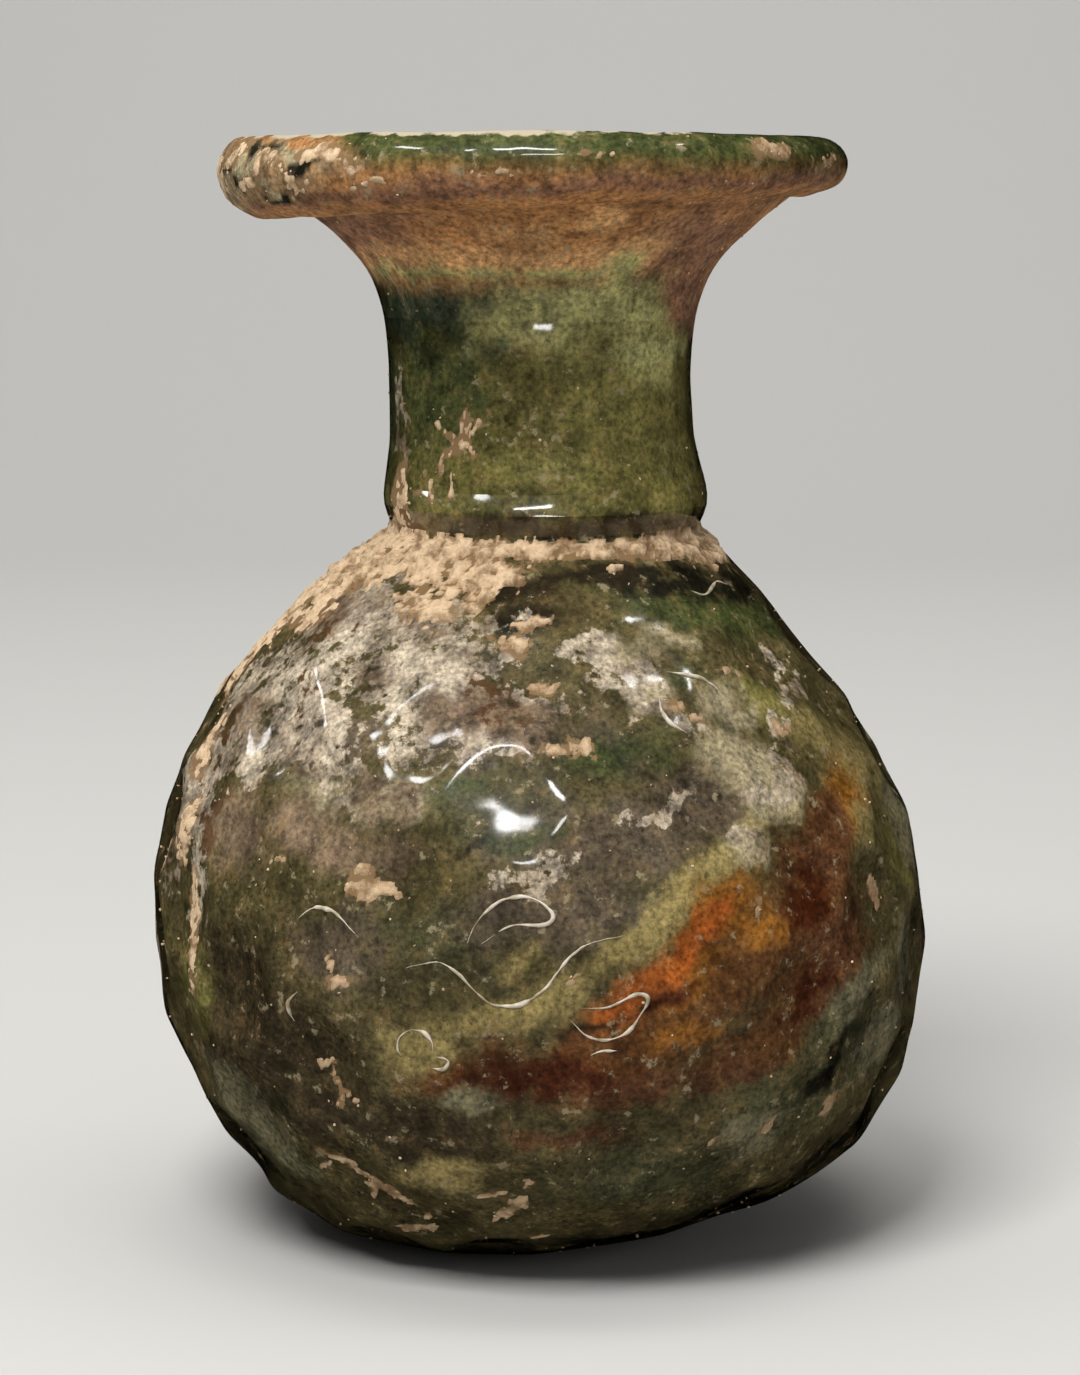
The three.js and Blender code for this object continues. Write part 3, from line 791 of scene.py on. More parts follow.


# The earth film on the funnel, under the rim, with painted shade in the roll's crease.
SAND_WASHES = (
    ("clay_and_crease_shade", 0.5, ((-60, 79, 8, 4, 0), (-34, 81, 6, 1.6, 0), (48, 77, 7, 6, 0), (62, 72, 5, 5, 0))),
    # A band along the roll's lower lip: earth film darkened as painted shade of the crease.
    ("clay_and_crease_shade", 0.4, (
        (-20, 82.3, 14, 1, 0), (20, 82.4, 16, 0.9, 0), (60, 82.6, 8, 1, 0), (-60, 82, 8, 1, 0),
    )),
    ("ochre", 0.6, (
        (-46, 77, 8, 1.8, 0), (-22, 76.8, 8, 1.9, 0), (2, 76.8, 8, 1.9, 0), (22, 77, 6, 2.4, 0),
    )),
    ("ochre", 0.5, ((29, 76.4, 2.6, 4, 0), (16, 79.8, 2, 1.2, 0), (-4, 79, 3, 1, 0))),
    ("pistachio", 0.7, (
        (28, 76, 2.4, 2.8, 0), (-44, 76, 8, 0.6, 0), (-14, 75.9, 8, 0.5, 0), (12, 75.9, 8, 0.6, 0),
    )),
    ("loam", 0.4, (
        (-78, 84, 12, 3.4, 0), (-60, 84, 8, 2.6, 0), (-46, 84.2, 6, 1.4, 10), (-34, 85, 4, 0.6, 0),
    )),
    ("milk", 0.4, (
        (-62, 84.8, 5, 0.7, 10), (-46, 85.2, 4, 0.5, -10), (-72, 83, 4, 0.7, 20), (-55, 83.2, 3, 0.5, -15),
    )),
    ("murk_and_shade", 0.4, (
        (-68, 84, 4, 0.5, -10), (-44, 84.4, 3, 0.4, 10), (-57, 85.7, 3, 0.4, 0), (-52, 82.4, 3, 0.4, 10),
    )),
)


def washed(paint, skin, colours, washes, broad, fine, sway):
    """The paint with washes laid over it, in their order."""
    for name, softness, strokes in washes:
        depth = skin.within(strokes, sway) + softness * (0.4 * broad + 0.35 * fine)
        share = smoothstep(-0.45 * softness, 0.9 * softness, depth)[:, None]
        paint = paint * (1 - share) + np.array(getattr(colours, name)) * share
    return paint


# Where the wear changes on the way up, in millimetres.
NECK_GLASS = 56, 57.5  # the body's olive turns to the neck's yellow-green
RIM_GLASS = 80.5, 82  # and that to the rim's bottle green
SAND_FOOT, SAND_TOP = 75.3, 83.9  # the earth film on the funnel
SOIL_RING = 54.35, 56.0  # the crust in the groove at the neck's foot
CHALK_AND_HIGHLIGHT_LINE = 86.08, 87  # the pale crust along the rim's top, partly a painted highlight


def wear(skin, colours):
    """The glass's colour at each place, and how deep it lies in film, stain, sand, the chalky crust that is
    partly a painted highlight, and soil.
    """
    broad = cloud(skin.place, 5 * MM, 1)
    fine = cloud(skin.place, 1.6 * MM, 2)
    paint = np.tile(np.array(colours.olive), (len(broad), 1))
    neck = smoothstep(*NECK_GLASS, skin.height)[:, None]
    paint = paint * (1 - neck) + np.array(colours.reed) * 0.56 * neck
    rim = smoothstep(*RIM_GLASS, skin.height)[:, None]
    paint = paint * (1 - rim) + np.array(colours.bottle_green) * rim
    paint = washed(paint, skin, colours, WASHES, broad, fine, 1.1)

    # The earth film hangs lower at the right, and climbs over the roll at the left.
    turn = np.radians(skin.angle)
    sand_foot = SAND_FOOT + 0.5 * np.sin(2 * turn) - 4.5 * sector(skin.angle, 95, 33, 24) + 0.5 * fine
    sand_top = SAND_TOP + 2.6 * sector(skin.angle, -80, 40, 12) + 0.3 * fine + 0.5 * broad
    sand = np.minimum(skin.height - sand_foot, sand_top - skin.height) / 1.5
    sand = np.where(skin.outside, np.clip(sand, -1, 1), -1)
    sandy = np.tile(np.array(colours.sand), (len(broad), 1))
    sandy = washed(sandy, skin, colours, SAND_WASHES, broad, fine, 0.8)
    share = smoothstep(-0.8, 0.8, sand)[:, None]
    paint = paint * (1 - share) + sandy * share

    # The ring of soil is thinnest at the front, and the chalky line, partly a painted highlight on the rim's
    # top, fades out at the right and behind.
    ring = skin.belt(*SOIL_RING, 0.8) + 0.35 * fine - 0.25
    ring += 0.38 * smoothstep(20, 55, np.abs(skin.angle))
    chalk_and_highlight = skin.belt(*CHALK_AND_HIGHLIGHT_LINE, 0.4) + 0.8 * fine + 0.3 * broad - 0.25
    chalk_and_highlight = chalk_and_highlight - 0.8 * sector(skin.angle, 120, 80, 50)
    soil = np.minimum(skin.within(SOIL, 0.8), 0.42) + 0.3 * fine
    return {
        "paint": paint,
        "film": np.minimum(skin.within(FILM, 1.8), 0.22) + 0.3 * fine + 0.25 * broad,
        "stain": np.minimum(skin.within(STAIN, 1.2), 0.6) + 0.3 * fine + 0.2 * broad,
        "sand": sand,
        "chalk_and_highlight": chalk_and_highlight,
        "soil": np.maximum(soil, np.minimum(ring, 0.45)),
    }


# ---------------------------------------------------------------- materials


def ragged(tree, name, texture, roughness, softness):
    """A mask from one kind of wear, whose edge is broken up by a fine texture."""
    depth = add(tree, "ShaderNodeAttribute", attribute_name=name).outputs["Fac"]
    centred = add(tree, "ShaderNodeMath", [texture, 0.5], operation="SUBTRACT")
    torn = add(tree, "ShaderNodeMath", [centred, roughness, depth], operation="MULTIPLY_ADD")
    return add(
        tree, "ShaderNodeMapRange", {"Value": torn, "From Min": -softness, "From Max": softness},
        interpolation_type="SMOOTHSTEP",
    )


DRIFT_BROWN = "#5a4426"  # brown that drifts through the glass
BUMP = 0.12  # how far a height of 1 stands out in the glass's fine relief, in millimetres
TURNING_RINGS = 57.7, 70.7  # heights of the slight rings that turning left on the neck, in millimetres
RING_REACH = 1.6  # how far above and below its middle a ring fades out, in millimetres
RING_PROUD = 6.4  # a ring's height in that relief


def glass_material(colours):
    """Blown soda glass after long burial: olive, hazy and stained, with a glossy, pitted skin."""
    material = bpy.data.materials.new("Weathered blown glass")
    material.use_nodes = True
    tree = material.node_tree
    tree.nodes.clear()
    noise_kind = "ShaderNodeTexNoise"
    place = add(tree, "ShaderNodeTexCoord").outputs["Object"]
    # Scales are swells to the metre: 170 is 6 mm wide, 260 4 mm, 520 2 mm, 900 1 mm and 2600 0.4 mm.
    cloudy = add(tree, noise_kind, {"Vector": place, "Scale": 170, "Detail": 4, "Roughness": 0.6})
    mottle = add(tree, noise_kind, {"Vector": place, "Scale": 520, "Detail": 6, "Roughness": 0.72})
    speckle = add(tree, noise_kind, {"Vector": place, "Scale": 900, "Detail": 5, "Roughness": 0.7})
    grit = add(tree, noise_kind, {"Vector": place, "Scale": 2600, "Detail": 2, "Roughness": 0.6})
    swell = add(tree, noise_kind, {"Vector": place, "Scale": 260, "Detail": 1})
    drawn = add(tree, "ShaderNodeMapping", {"Vector": place, "Scale": (1, 1, 0.12)})
    streaks = add(tree, noise_kind, {"Vector": drawn, "Scale": 900, "Detail": 3, "Roughness": 0.6})
    height = add(tree, "ShaderNodeSeparateXYZ", [place]).outputs["Z"]

    # The glass's own colour, mottled light and dark, with brown drifting through it.
    skin = add(tree, "ShaderNodeAttribute", attribute_name="paint").outputs["Color"]
    brown = add(
        tree, "ShaderNodeMapRange",
        {"Value": mottle, "From Min": 0.5, "From Max": 0.68, "To Max": 0.4}, interpolation_type="SMOOTHSTEP",
    )
    skin = add(
        tree, "ShaderNodeMix", {"Factor": brown, "A": skin, "B": (*hex_colour(DRIFT_BROWN), 1)},
        data_type="RGBA",
    )
    for texture, low, high, dark, light in (
        (cloudy, 0.32, 0.68, 0.72, 1.25), (mottle, 0.34, 0.66, 0.5, 1.55), (grit, 0.3, 0.7, 0.55, 1.5),
    ):
        shade = add(
            tree, "ShaderNodeMapRange",
            {"Value": texture, "From Min": low, "From Max": high, "To Min": dark, "To Max": light},
        )
        skin = add(tree, "ShaderNodeVectorMath", {0: skin, "Scale": shade}, operation="SCALE")
    on_neck = add(
        tree, "ShaderNodeMapRange",
        {"Value": height, "From Min": 57 * MM, "From Max": 62 * MM, "To Max": 0.8},
        interpolation_type="SMOOTHSTEP",
    )
    lines = add(
        tree, "ShaderNodeMapRange",
        {"Value": streaks, "From Min": 0.35, "From Max": 0.65, "To Min": 0.8, "To Max": 1.15},
    )
    drawn_out = add(tree, "ShaderNodeMix", {"Factor": on_neck, "A": 1.0, "B": lines}, data_type="FLOAT")
    skin = add(tree, "ShaderNodeVectorMath", {0: skin, "Scale": drawn_out}, operation="SCALE")

    # Painted shade darkens the hollows, and painted light leaves the ridges between them a little paler, so
    # that the honeycomb shows.
    hollow = add(tree, "ShaderNodeAttribute", attribute_name="hollow").outputs["Fac"]
    hollow_shading = add(
        tree, "ShaderNodeMapRange",
        {"Value": hollow, "From Min": 0.2 * MM, "From Max": 0.95 * MM, "To Min": 1.16, "To Max": 0.84},
    )
    skin = add(tree, "ShaderNodeVectorMath", {0: skin, "Scale": hollow_shading}, operation="SCALE")

    # Small dark pits.
    pits = add(
        tree, "ShaderNodeMapRange",
        {"Value": speckle, "From Min": 0.3, "From Max": 0.41, "To Min": 0.45, "To Max": 1.0},
        interpolation_type="SMOOTHSTEP",
    )
    skin = add(tree, "ShaderNodeVectorMath", {0: skin, "Scale": pits}, operation="SCALE")

    # Crumbs of pale skin that cling everywhere, in the mottles' brighter parts.
    crumb = add(tree, "ShaderNodeMath", [mottle, 0.35, speckle], operation="MULTIPLY_ADD")
    crumbs = add(
        tree, "ShaderNodeMapRange",
        {"Value": crumb, "From Min": 0.77, "From Max": 0.85, "To Max": 0.75}, interpolation_type="SMOOTHSTEP",
    )
    skin = add(
        tree, "ShaderNodeMix", {"Factor": crumbs, "A": skin, "B": (*colours.milk, 1)}, data_type="RGBA"
    )
    rough = add(tree, "ShaderNodeMapRange", {"Value": speckle, "To Min": 0.25, "To Max": 0.5})

    # Stain, skin, sand, the chalky crust that is partly a painted highlight, and soil over it, each with an
    # edge that the texture tears. A layer has its tint, roughness, how far its edge is torn and how softly,
    # and the most that it covers.
    pale = add(tree, "ShaderNodeMapRange", {"Value": cloudy, "From Min": 0.4, "From Max": 0.58})
    flaked = add(
        tree, "ShaderNodeMix", {"Factor": pale, "A": (*colours.dust, 1), "B": (*colours.film, 1)},
        data_type="RGBA",
    )
    dusted = add(
        tree, "ShaderNodeMapRange",
        {"Value": grit, "From Min": 0.3, "From Max": 0.7, "To Min": 0.5, "To Max": 1.35},
    )
    flaked = add(tree, "ShaderNodeVectorMath", {0: flaked, "Scale": dusted}, operation="SCALE")
    patched = add(
        tree, "ShaderNodeMapRange",
        {"Value": mottle, "From Min": 0.36, "From Max": 0.6, "To Min": 0.35, "To Max": 1.35},
    )
    flaked = add(tree, "ShaderNodeVectorMath", {0: flaked, "Scale": patched}, operation="SCALE")
    clear = 1.0
    for name, tint, dull, tearing, softness, most in (
        ("stain", (*colours.rust, 1), 0.3, 2.6, 0.2, 0.7),
        ("film", flaked, 0.34, 2.6, 0.12, 0.85),
        ("sand", None, 0.75, 0.8, 0.3, 1.0),
        ("chalk_and_highlight", (*colours.chalk_and_highlight, 1), 0.8, 2.0, 0.2, 1.0),
        ("soil", (*colours.loam, 1), 0.95, 3.0, 0.1, 0.9),
    ):
        tint = skin if tint is None else tint  # the paint already holds the sand's colours
        worn = ragged(tree, name, speckle if name == "film" else mottle, tearing, softness)
        share = add(tree, "ShaderNodeMath", [worn, most], operation="MULTIPLY")
        skin = add(tree, "ShaderNodeMix", {"Factor": share, "A": skin, "B": tint}, data_type="RGBA")
        rough = add(tree, "ShaderNodeMix", {"Factor": share, "A": rough, "B": dull}, data_type="FLOAT")
        if name != "stain":
            left = 0.4 if name == "film" else 0.0
            clear = add(tree, "ShaderNodeMix", {"Factor": share, "A": clear, "B": left}, data_type="FLOAT")
    relief = add(tree, "ShaderNodeMath", [speckle, 1.2, grit], operation="MULTIPLY_ADD")
    surface = add(tree, "ShaderNodeMath", [swell, 0.9], operation="MULTIPLY")
    for ring_height in TURNING_RINGS:
        off = add(tree, "ShaderNodeMath", [height, ring_height * MM], operation="SUBTRACT")
        away = add(tree, "ShaderNodeMath", [off], operation="ABSOLUTE")
        ring = add(
            tree, "ShaderNodeMapRange",
            {"Value": away, "From Max": RING_REACH * MM, "To Min": RING_PROUD, "To Max": 0.0},
        )
        surface = add(tree, "ShaderNodeMath", [surface, ring], operation="ADD")
    relief = add(tree, "ShaderNodeMath", [relief, 0.35, surface], operation="MULTIPLY_ADD")
    bump = add(tree, "ShaderNodeBump", {"Strength": 1.0, "Distance": BUMP * MM, "Height": relief})
    fluid = add(tree, "ShaderNodeBump", {"Strength": 1.0, "Distance": BUMP * MM, "Height": surface})
    glass = add(
        tree, "ShaderNodeBsdfPrincipled",
        {
            "Base Color": skin, "Roughness": rough, "IOR": 1.5, "Specular IOR Level": 0.2, "Normal": bump,
            "Coat Weight": clear, "Coat Roughness": 0.08, "Coat Normal": fluid,
        },
    )
    add(tree, "ShaderNodeOutputMaterial", {"Surface": glass})
    return material


def soil_material(colours):
    """Dry burial earth: matt, crumbly, tan with darker and paler grains."""
    material = bpy.data.materials.new("Dry burial soil")
    material.use_nodes = True
    tree = material.node_tree
    tree.nodes.clear()
    place = add(tree, "ShaderNodeTexCoord").outputs["Object"]
    lumps = add(tree, "ShaderNodeTexNoise", {"Vector": place, "Scale": 450, "Detail": 6, "Roughness": 0.7})
    grit = add(tree, "ShaderNodeTexNoise", {"Vector": place, "Scale": 2800, "Detail": 3, "Roughness": 0.6})
    share = add(
        tree, "ShaderNodeMapRange", {"Value": lumps, "From Min": 0.34, "From Max": 0.56},
        interpolation_type="SMOOTHSTEP",
    )
    earth = add(
        tree, "ShaderNodeMix", {"Factor": share, "A": (*colours.loam, 1), "B": (*colours.soil, 1)},
        data_type="RGBA",
    )
    # Loam comes in where the crust is thin, as painted shade on the bottle's right and round its back, darker
    # low on the body, and less at the left as painted light.
    thin = add(tree, "ShaderNodeAttribute", attribute_name="shade").outputs["Fac"]
    shade_share = add(tree, "ShaderNodeMath", [thin, 0.75], operation="MULTIPLY")
    earth = add(
        tree, "ShaderNodeMix", {"Factor": shade_share, "A": earth, "B": (*colours.loam, 1)}, data_type="RGBA"
    )
    shading = add(tree, "ShaderNodeMapRange", {"Value": grit, "To Min": 0.6, "To Max": 1.4})
    earth = add(tree, "ShaderNodeVectorMath", {0: earth, "Scale": shading}, operation="SCALE")
    relief = add(tree, "ShaderNodeMath", [lumps, 1.5, grit], operation="MULTIPLY_ADD")
    bump = add(tree, "ShaderNodeBump", {"Strength": 0.7, "Distance": 0.15 * MM, "Height": relief})
    dust = add(
        tree, "ShaderNodeBsdfPrincipled",
        {"Base Color": earth, "Roughness": 0.95, "Specular IOR Level": 0.25, "Normal": bump},
    )
    add(tree, "ShaderNodeOutputMaterial", {"Surface": dust})
    return material


def edge_highlight_material(colours):
    """The lifted edge of a glass flake: thin and glossy, so it catches the light, and pale as a painted
    highlight.
    """
    material = bpy.data.materials.new("Flake edge with painted highlight")
    material.use_nodes = True
    tree = material.node_tree
    tree.nodes.clear()
    place = add(tree, "ShaderNodeTexCoord").outputs["Object"]
    # Milk and crest make the edge pale as a painted highlight.
    breaks = add(tree, "ShaderNodeTexNoise", {"Vector": place, "Scale": 900, "Detail": 3})
    share = add(tree, "ShaderNodeMapRange", {"Value": breaks, "From Min": 0.35, "From Max": 0.6})
    tint = add(
        tree, "ShaderNodeMix", {"Factor": share, "A": (*colours.milk, 1), "B": (*colours.crest_highlight, 1)},
        data_type="RGBA",
    )
    edge = add(tree, "ShaderNodeBsdfPrincipled", {"Base Color": tint, "Roughness": 0.25, "IOR": 1.5})
    add(tree, "ShaderNodeOutputMaterial", {"Surface": edge})
    return material


PAPER = "#c4c3bf"


def stage_material():
    """A seamless pale grey paper sweep."""
    material = bpy.data.materials.new("Pale paper sweep")
    material.use_nodes = True
    paper = material.node_tree.nodes["Principled BSDF"]
    paper.inputs["Base Color"].default_value = (*hex_colour(PAPER), 1)
    paper.inputs["Roughness"].default_value = 0.9
    return material


# ---------------------------------------------------------------- pieces


def new_piece(name, mesh):
    thing = bpy.data.objects.new(name, mesh)
    bpy.context.scene.collection.objects.link(thing)
    return thing


def keep(mesh, name, values):
    """Stores a number or a colour for each vertex under a name."""
    if values.ndim == 1:
        layer = mesh.attributes.get(name) or mesh.attributes.new(name, "FLOAT", "POINT")
        layer.data.foreach_set("value", values.astype(np.float32))
    else:
        layer = mesh.attributes.new(name, "FLOAT_COLOR", "POINT")
        opaque = np.column_stack([values, np.ones(len(values))])
        layer.data.foreach_set("color", opaque.astype(np.float32).ravel())


def places(mesh):
    flat = np.empty(len(mesh.vertices) * 3)
    mesh.vertices.foreach_get("co", flat)
    return flat.reshape(-1, 3)


def put_places(mesh, points):
    """Moves the vertices, keeping them in the CAD solid's box."""
    low, high = np.array(CAD_BOX[0]), np.array(CAD_BOX[1])
    mesh.vertices.foreach_set("co", np.clip(points, low, high).ravel())
    mesh.update()


def smooth(mesh):
    mesh.polygons.foreach_set("use_smooth", np.ones(len(mesh.polygons), bool))


class BOTTLE_OT_glass(bpy.types.Operator):
    """Turns the bottle, presses its honeycomb, leaves it uneven and marks its wear"""

    bl_idname = "bottle.glass"
    bl_label = "Weathered glass"

    def execute(self, context):
        form, comb = context.scene.bottle_form, context.scene.bottle_honeycomb
        mesh, angles, climbs, regions = turned_mesh("bottle_glass", form)
        keep(mesh, "region", regions)
        keep(mesh, "hollow", np.zeros(len(regions)))
        bottle = new_piece("bottle_glass", mesh)
        body = body_line(form)
        line_mesh = bpy.data.meshes.new("body_line")
        line_mesh.from_pydata(
            [(r, 0, z) for r, z in body], [(k, k + 1) for k in range(len(body) - 1)], []
        )
        line = new_piece("body_line", line_mesh)
        material = glass_material(context.scene.bottle_colours)
        mesh = grown(
            bottle,
            honeycomb_tree(),
            {
                "Body line": line, "Glass": material, "Rows": comb.rows, "First row": comb.first_row,
                "Last row": comb.last_row, "Hollows per row": comb.per_row, "Turn": comb.turn,
                "Hollow radius": comb.radius, "Hollow depth": comb.depth, "Wander": comb.wander,
                "Ridge": comb.ridge, "Belly radius": form.belly_radius, "Belly height": form.belly_height,
            },
        )
        bpy.data.objects.remove(line)
        if len(mesh.vertices) != len(regions):
            raise RuntimeError("the honeycomb tree lost part of the bottle")
        put_places(mesh, leaned(places(mesh), regions, form))
        points = rippled(mesh, regions)
        put_places(mesh, points)
        smooth(mesh)
        skin = Skin(points, np.degrees(angles), climbs / MM, regions < 2, form)
        keep(mesh, "climb", skin.climb)
        for name, values in wear(skin, context.scene.bottle_colours).items():
            keep(mesh, name, values)
        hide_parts(NODE)
        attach(bottle, "root")
        return {"FINISHED"}


class Shell:
    """The finished glass's outside, read back as rings, so that other pieces can lie on it."""

    def __init__(self, mesh):
        rings = FOOT_RINGS - 1 + BODY_RINGS + 1 + NECK_RINGS + 1 + ROLL_RINGS + 1
        count = rings * SEGMENTS
        normals = np.empty(len(mesh.vertices) * 3)
        mesh.vertices.foreach_get("normal", normals)
        climbs = np.empty(len(mesh.vertices), np.float32)
        mesh.attributes["climb"].data.foreach_get("value", climbs)
        self.places = places(mesh)[1 : count + 1].reshape(rings, SEGMENTS, 3)
        self.normals = normals.reshape(-1, 3)[1 : count + 1].reshape(rings, SEGMENTS, 3)
        self.climbs = np.array(climbs[1 : count + 1 : SEGMENTS], float)

    def at(self, angle, climb):
        """Places and outward directions on the glass, from angles in degrees and climbs in millimetres."""
        up = np.interp(climb, self.climbs, np.arange(len(self.climbs)))
        low = np.minimum(up.astype(int), len(self.climbs) - 2)
        rise = (up - low)[..., None]
        across = (np.asarray(angle) % 360) / 360 * SEGMENTS
        left = across.astype(int) % SEGMENTS
        right = (left + 1) % SEGMENTS
        side = (across - across.astype(int))[..., None]
        found = []
        for field in (self.places, self.normals):
            lower = field[low, left] * (1 - side) + field[low, right] * side
            upper = field[low + 1, left] * (1 - side) + field[low + 1, right] * side
            found.append(lower * (1 - rise) + upper * rise)
        return found


CRUST_COLUMNS = 660  # steps round the bottle
CRUST_STEP = 0.3  # from row to row, in millimetres
CRUMBLE = 0.65  # how far crumbs break up the crust's edge
CRUST_SHRINK = 0.06  # how much less the crust covers than the soil's stain on the glass
CRUST_EDGE = 0.06  # the depth in soil from which there is a crust
CRUST_THICK, CRUST_BANKED = 0.09, 0.2  # thickness anywhere, and what the neck's foot adds, in millimetres
CRUST_TUCKED, CRUST_UNDER = 0.03, 0.1  # how far its top is let down, and its back sunk in, in millimetres


class BOTTLE_OT_soil_crust(bpy.types.Operator):
    """Lays the clinging soil on the glass as a thin, ragged, closed crust"""

    bl_idname = "bottle.soil_crust"
    bl_label = "Soil crust"

    def execute(self, context):
        form = context.scene.bottle_form
        shell = Shell(bpy.data.objects["bottle_glass"].data)
        columns = CRUST_COLUMNS
        climb, angle = np.meshgrid(
            np.arange(form.foot_radius / MM - 4, shell.climbs[-1] - 1, CRUST_STEP),
            np.arange(columns) * 360 / columns,
            indexing="ij",
        )
        place, outward = shell.at(angle, climb)
        rows = len(climb)
        flat = place.reshape(-1, 3)
        skin = Skin(flat, angle.ravel(), climb.ravel(), np.ones(flat.shape[0], bool), form)
        soil = wear(skin, context.scene.bottle_colours)["soil"].reshape(rows, columns)
        near = soil > -0.3
        crumble = np.zeros(soil.shape)
        crumble[near] = cloud(place[near], 0.7 * MM, 5, 3)
        soil = soil + CRUMBLE * crumble - CRUST_SHRINK
        neck_foot = skin.belt(49, 57, 3).reshape(rows, columns)
        thickest = (CRUST_THICK + CRUST_BANKED * np.maximum(neck_foot, 0)) * MM
        thick = thickest * (0.25 + smoothstep(0.05, 0.6, soil)) * (1 + 0.5 * crumble)
        thick = np.maximum(np.where(soil > CRUST_EDGE, thick, 0), 0)

        after = np.r_[1:columns, 0]
        corner = thick > 0
        used = corner[:-1] | corner[1:]
        used = used | used[:, after]
        number = np.arange(rows * columns).reshape(rows, columns)
        row, column = np.nonzero(used)
        quads = np.column_stack(
            [
                number[row, column], number[row, after[column]],
                number[row + 1, after[column]], number[row + 1, column],
            ]
        )
        kept, quads = np.unique(quads, return_inverse=True)
        quads = quads.reshape(-1, 4)
        base, way = flat[kept], outward.reshape(-1, 3)[kept]
        way = way / np.linalg.norm(way, axis=1)[:, None]
        over = base + way * (thick.ravel()[kept] - CRUST_TUCKED * MM)[:, None]
        under = base - way * CRUST_UNDER * MM
        count = len(kept)
        sides = {}
        for quad in quads.tolist():
            for start, end in zip(quad, quad[1:] + quad[:1]):
                if (end, start) in sides:
                    del sides[end, start]
                else:
                    sides[start, end] = True
        faces = quads.tolist() + (quads[:, ::-1] + count).tolist()
        faces += [(end, start, start + count, end + count) for start, end in sides]
        mesh = bpy.data.meshes.new("soil_crust")
        mesh.from_pydata(np.vstack([over, under]).tolist(), [], faces)
        put_places(mesh, np.vstack([over, under]))
        mesh.materials.append(soil_material(context.scene.bottle_colours))
        smooth(mesh)
        # Loam share for the crust: more where it is thin, painted shade on the right and round the back, more
        # below about 30 to 50 mm, and less at the left as painted light.
        shade = 0.85 - thick.ravel()[kept] / (0.16 * MM) + 0.7 * sector(skin.angle[kept], 120, 70, 60)
        shade += 0.3 * smoothstep(50, 30, skin.height[kept]) - 0.6 * sector(skin.angle[kept], -100, 40, 24)
        keep(mesh, "shade", np.clip(np.tile(shade, 2), 0, 1))
        crust = new_piece("soil_crust", mesh)
        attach(crust, "root")
        return {"FINISHED"}


def grain_tree():
    """Scatters small irregular grains over the soil, and a few over the rest of the glass."""
    tree = bpy.data.node_groups.new("Scatter soil grains", "GeometryNodeTree")
    sockets = {
        "Grains": "Geometry", "Bottle": "Object", "Soil": "Material", "On soil": "Float",
        "Elsewhere": "Float", "Smallest": "Float", "Largest": "Float", "Seed": "Int",
    }
    for name, kind in sockets.items():
        tree.interface.new_socket(name, in_out="INPUT", socket_type="NodeSocket" + kind)
    tree.interface.new_socket("Grains", in_out="OUTPUT", socket_type="NodeSocketGeometry")
    given = add(tree, "NodeGroupInput").outputs
    bottle = add(tree, "GeometryNodeObjectInfo", {"Object": given["Bottle"]})
    depth = add(tree, "GeometryNodeInputNamedAttribute", {"Name": "soil"}, data_type="FLOAT")
    density = add(
        tree, "ShaderNodeMapRange",
        {
            "Value": depth, "From Min": -0.25, "From Max": 0.3, "To Min": given["Elsewhere"],
            "To Max": given["On soil"],
        },
        interpolation_type="SMOOTHSTEP",
    )
    region = add(tree, "GeometryNodeInputNamedAttribute", {"Name": "region"}, data_type="FLOAT")
    outside = add(tree, "ShaderNodeMath", [region, 1.5], operation="LESS_THAN")
    points = add(
        tree, "GeometryNodeDistributePointsOnFaces",
        {"Mesh": bottle.outputs["Geometry"], "Selection": outside, "Density": density, "Seed": given["Seed"]},
        distribute_method="RANDOM",
    )
    grain = add(tree, "GeometryNodeMeshIcoSphere", {"Radius": 1.0, "Subdivisions": 1})
    turn = add(
        tree, "FunctionNodeRandomValue",
        {"Min": (0, 0, 0), "Max": (2 * math.pi,) * 3, "Seed": given["Seed"]}, data_type="FLOAT_VECTOR",
    )
    small = add(tree, "ShaderNodeCombineXYZ", [given["Smallest"]] * 3)
    large = add(tree, "ShaderNodeCombineXYZ", [given["Largest"]] * 3)
    size = add(
        tree, "FunctionNodeRandomValue", {"Min": small, "Max": large, "Seed": given["Seed"]},
        data_type="FLOAT_VECTOR",
    )
    grains = add(
        tree, "GeometryNodeInstanceOnPoints",
        {"Points": points.outputs["Points"], "Instance": grain, "Rotation": turn, "Scale": size},
    )
    real = add(tree, "GeometryNodeRealizeInstances", {"Geometry": grains})
    dusty = add(tree, "GeometryNodeSetMaterial", {"Geometry": real, "Material": given["Soil"]})
    add(tree, "NodeGroupOutput", {"Grains": dusty})
    return tree


GRAINS_ON_SOIL, GRAINS_ELSEWHERE = 0.6e6, 0.04e6  # to the square metre
SMALLEST_GRAIN, LARGEST_GRAIN = 0.04, 0.15  # radii in millimetres
GRAIN_SEED = 7


class BOTTLE_OT_soil_grains(bpy.types.Operator):
    """Scatters loose soil grains over the crust and the glass"""

    bl_idname = "bottle.soil_grains"
    bl_label = "Soil grains"

    def execute(self, context):
        grains = new_piece("soil_grains", bpy.data.meshes.new("soil_grains"))
        mesh = grown(
            grains,
            grain_tree(),
            {
                "Bottle": bpy.data.objects["bottle_glass"], "Soil": bpy.data.materials["Dry burial soil"],
                "On soil": GRAINS_ON_SOIL, "Elsewhere": GRAINS_ELSEWHERE,
                "Smallest": SMALLEST_GRAIN * MM, "Largest": LARGEST_GRAIN * MM, "Seed": GRAIN_SEED,
            },
        )
        if not mesh.polygons:
            raise RuntimeError("no soil grain was scattered")
        put_places(mesh, places(mesh))
        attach(grains, "root")
        return {"FINISHED"}
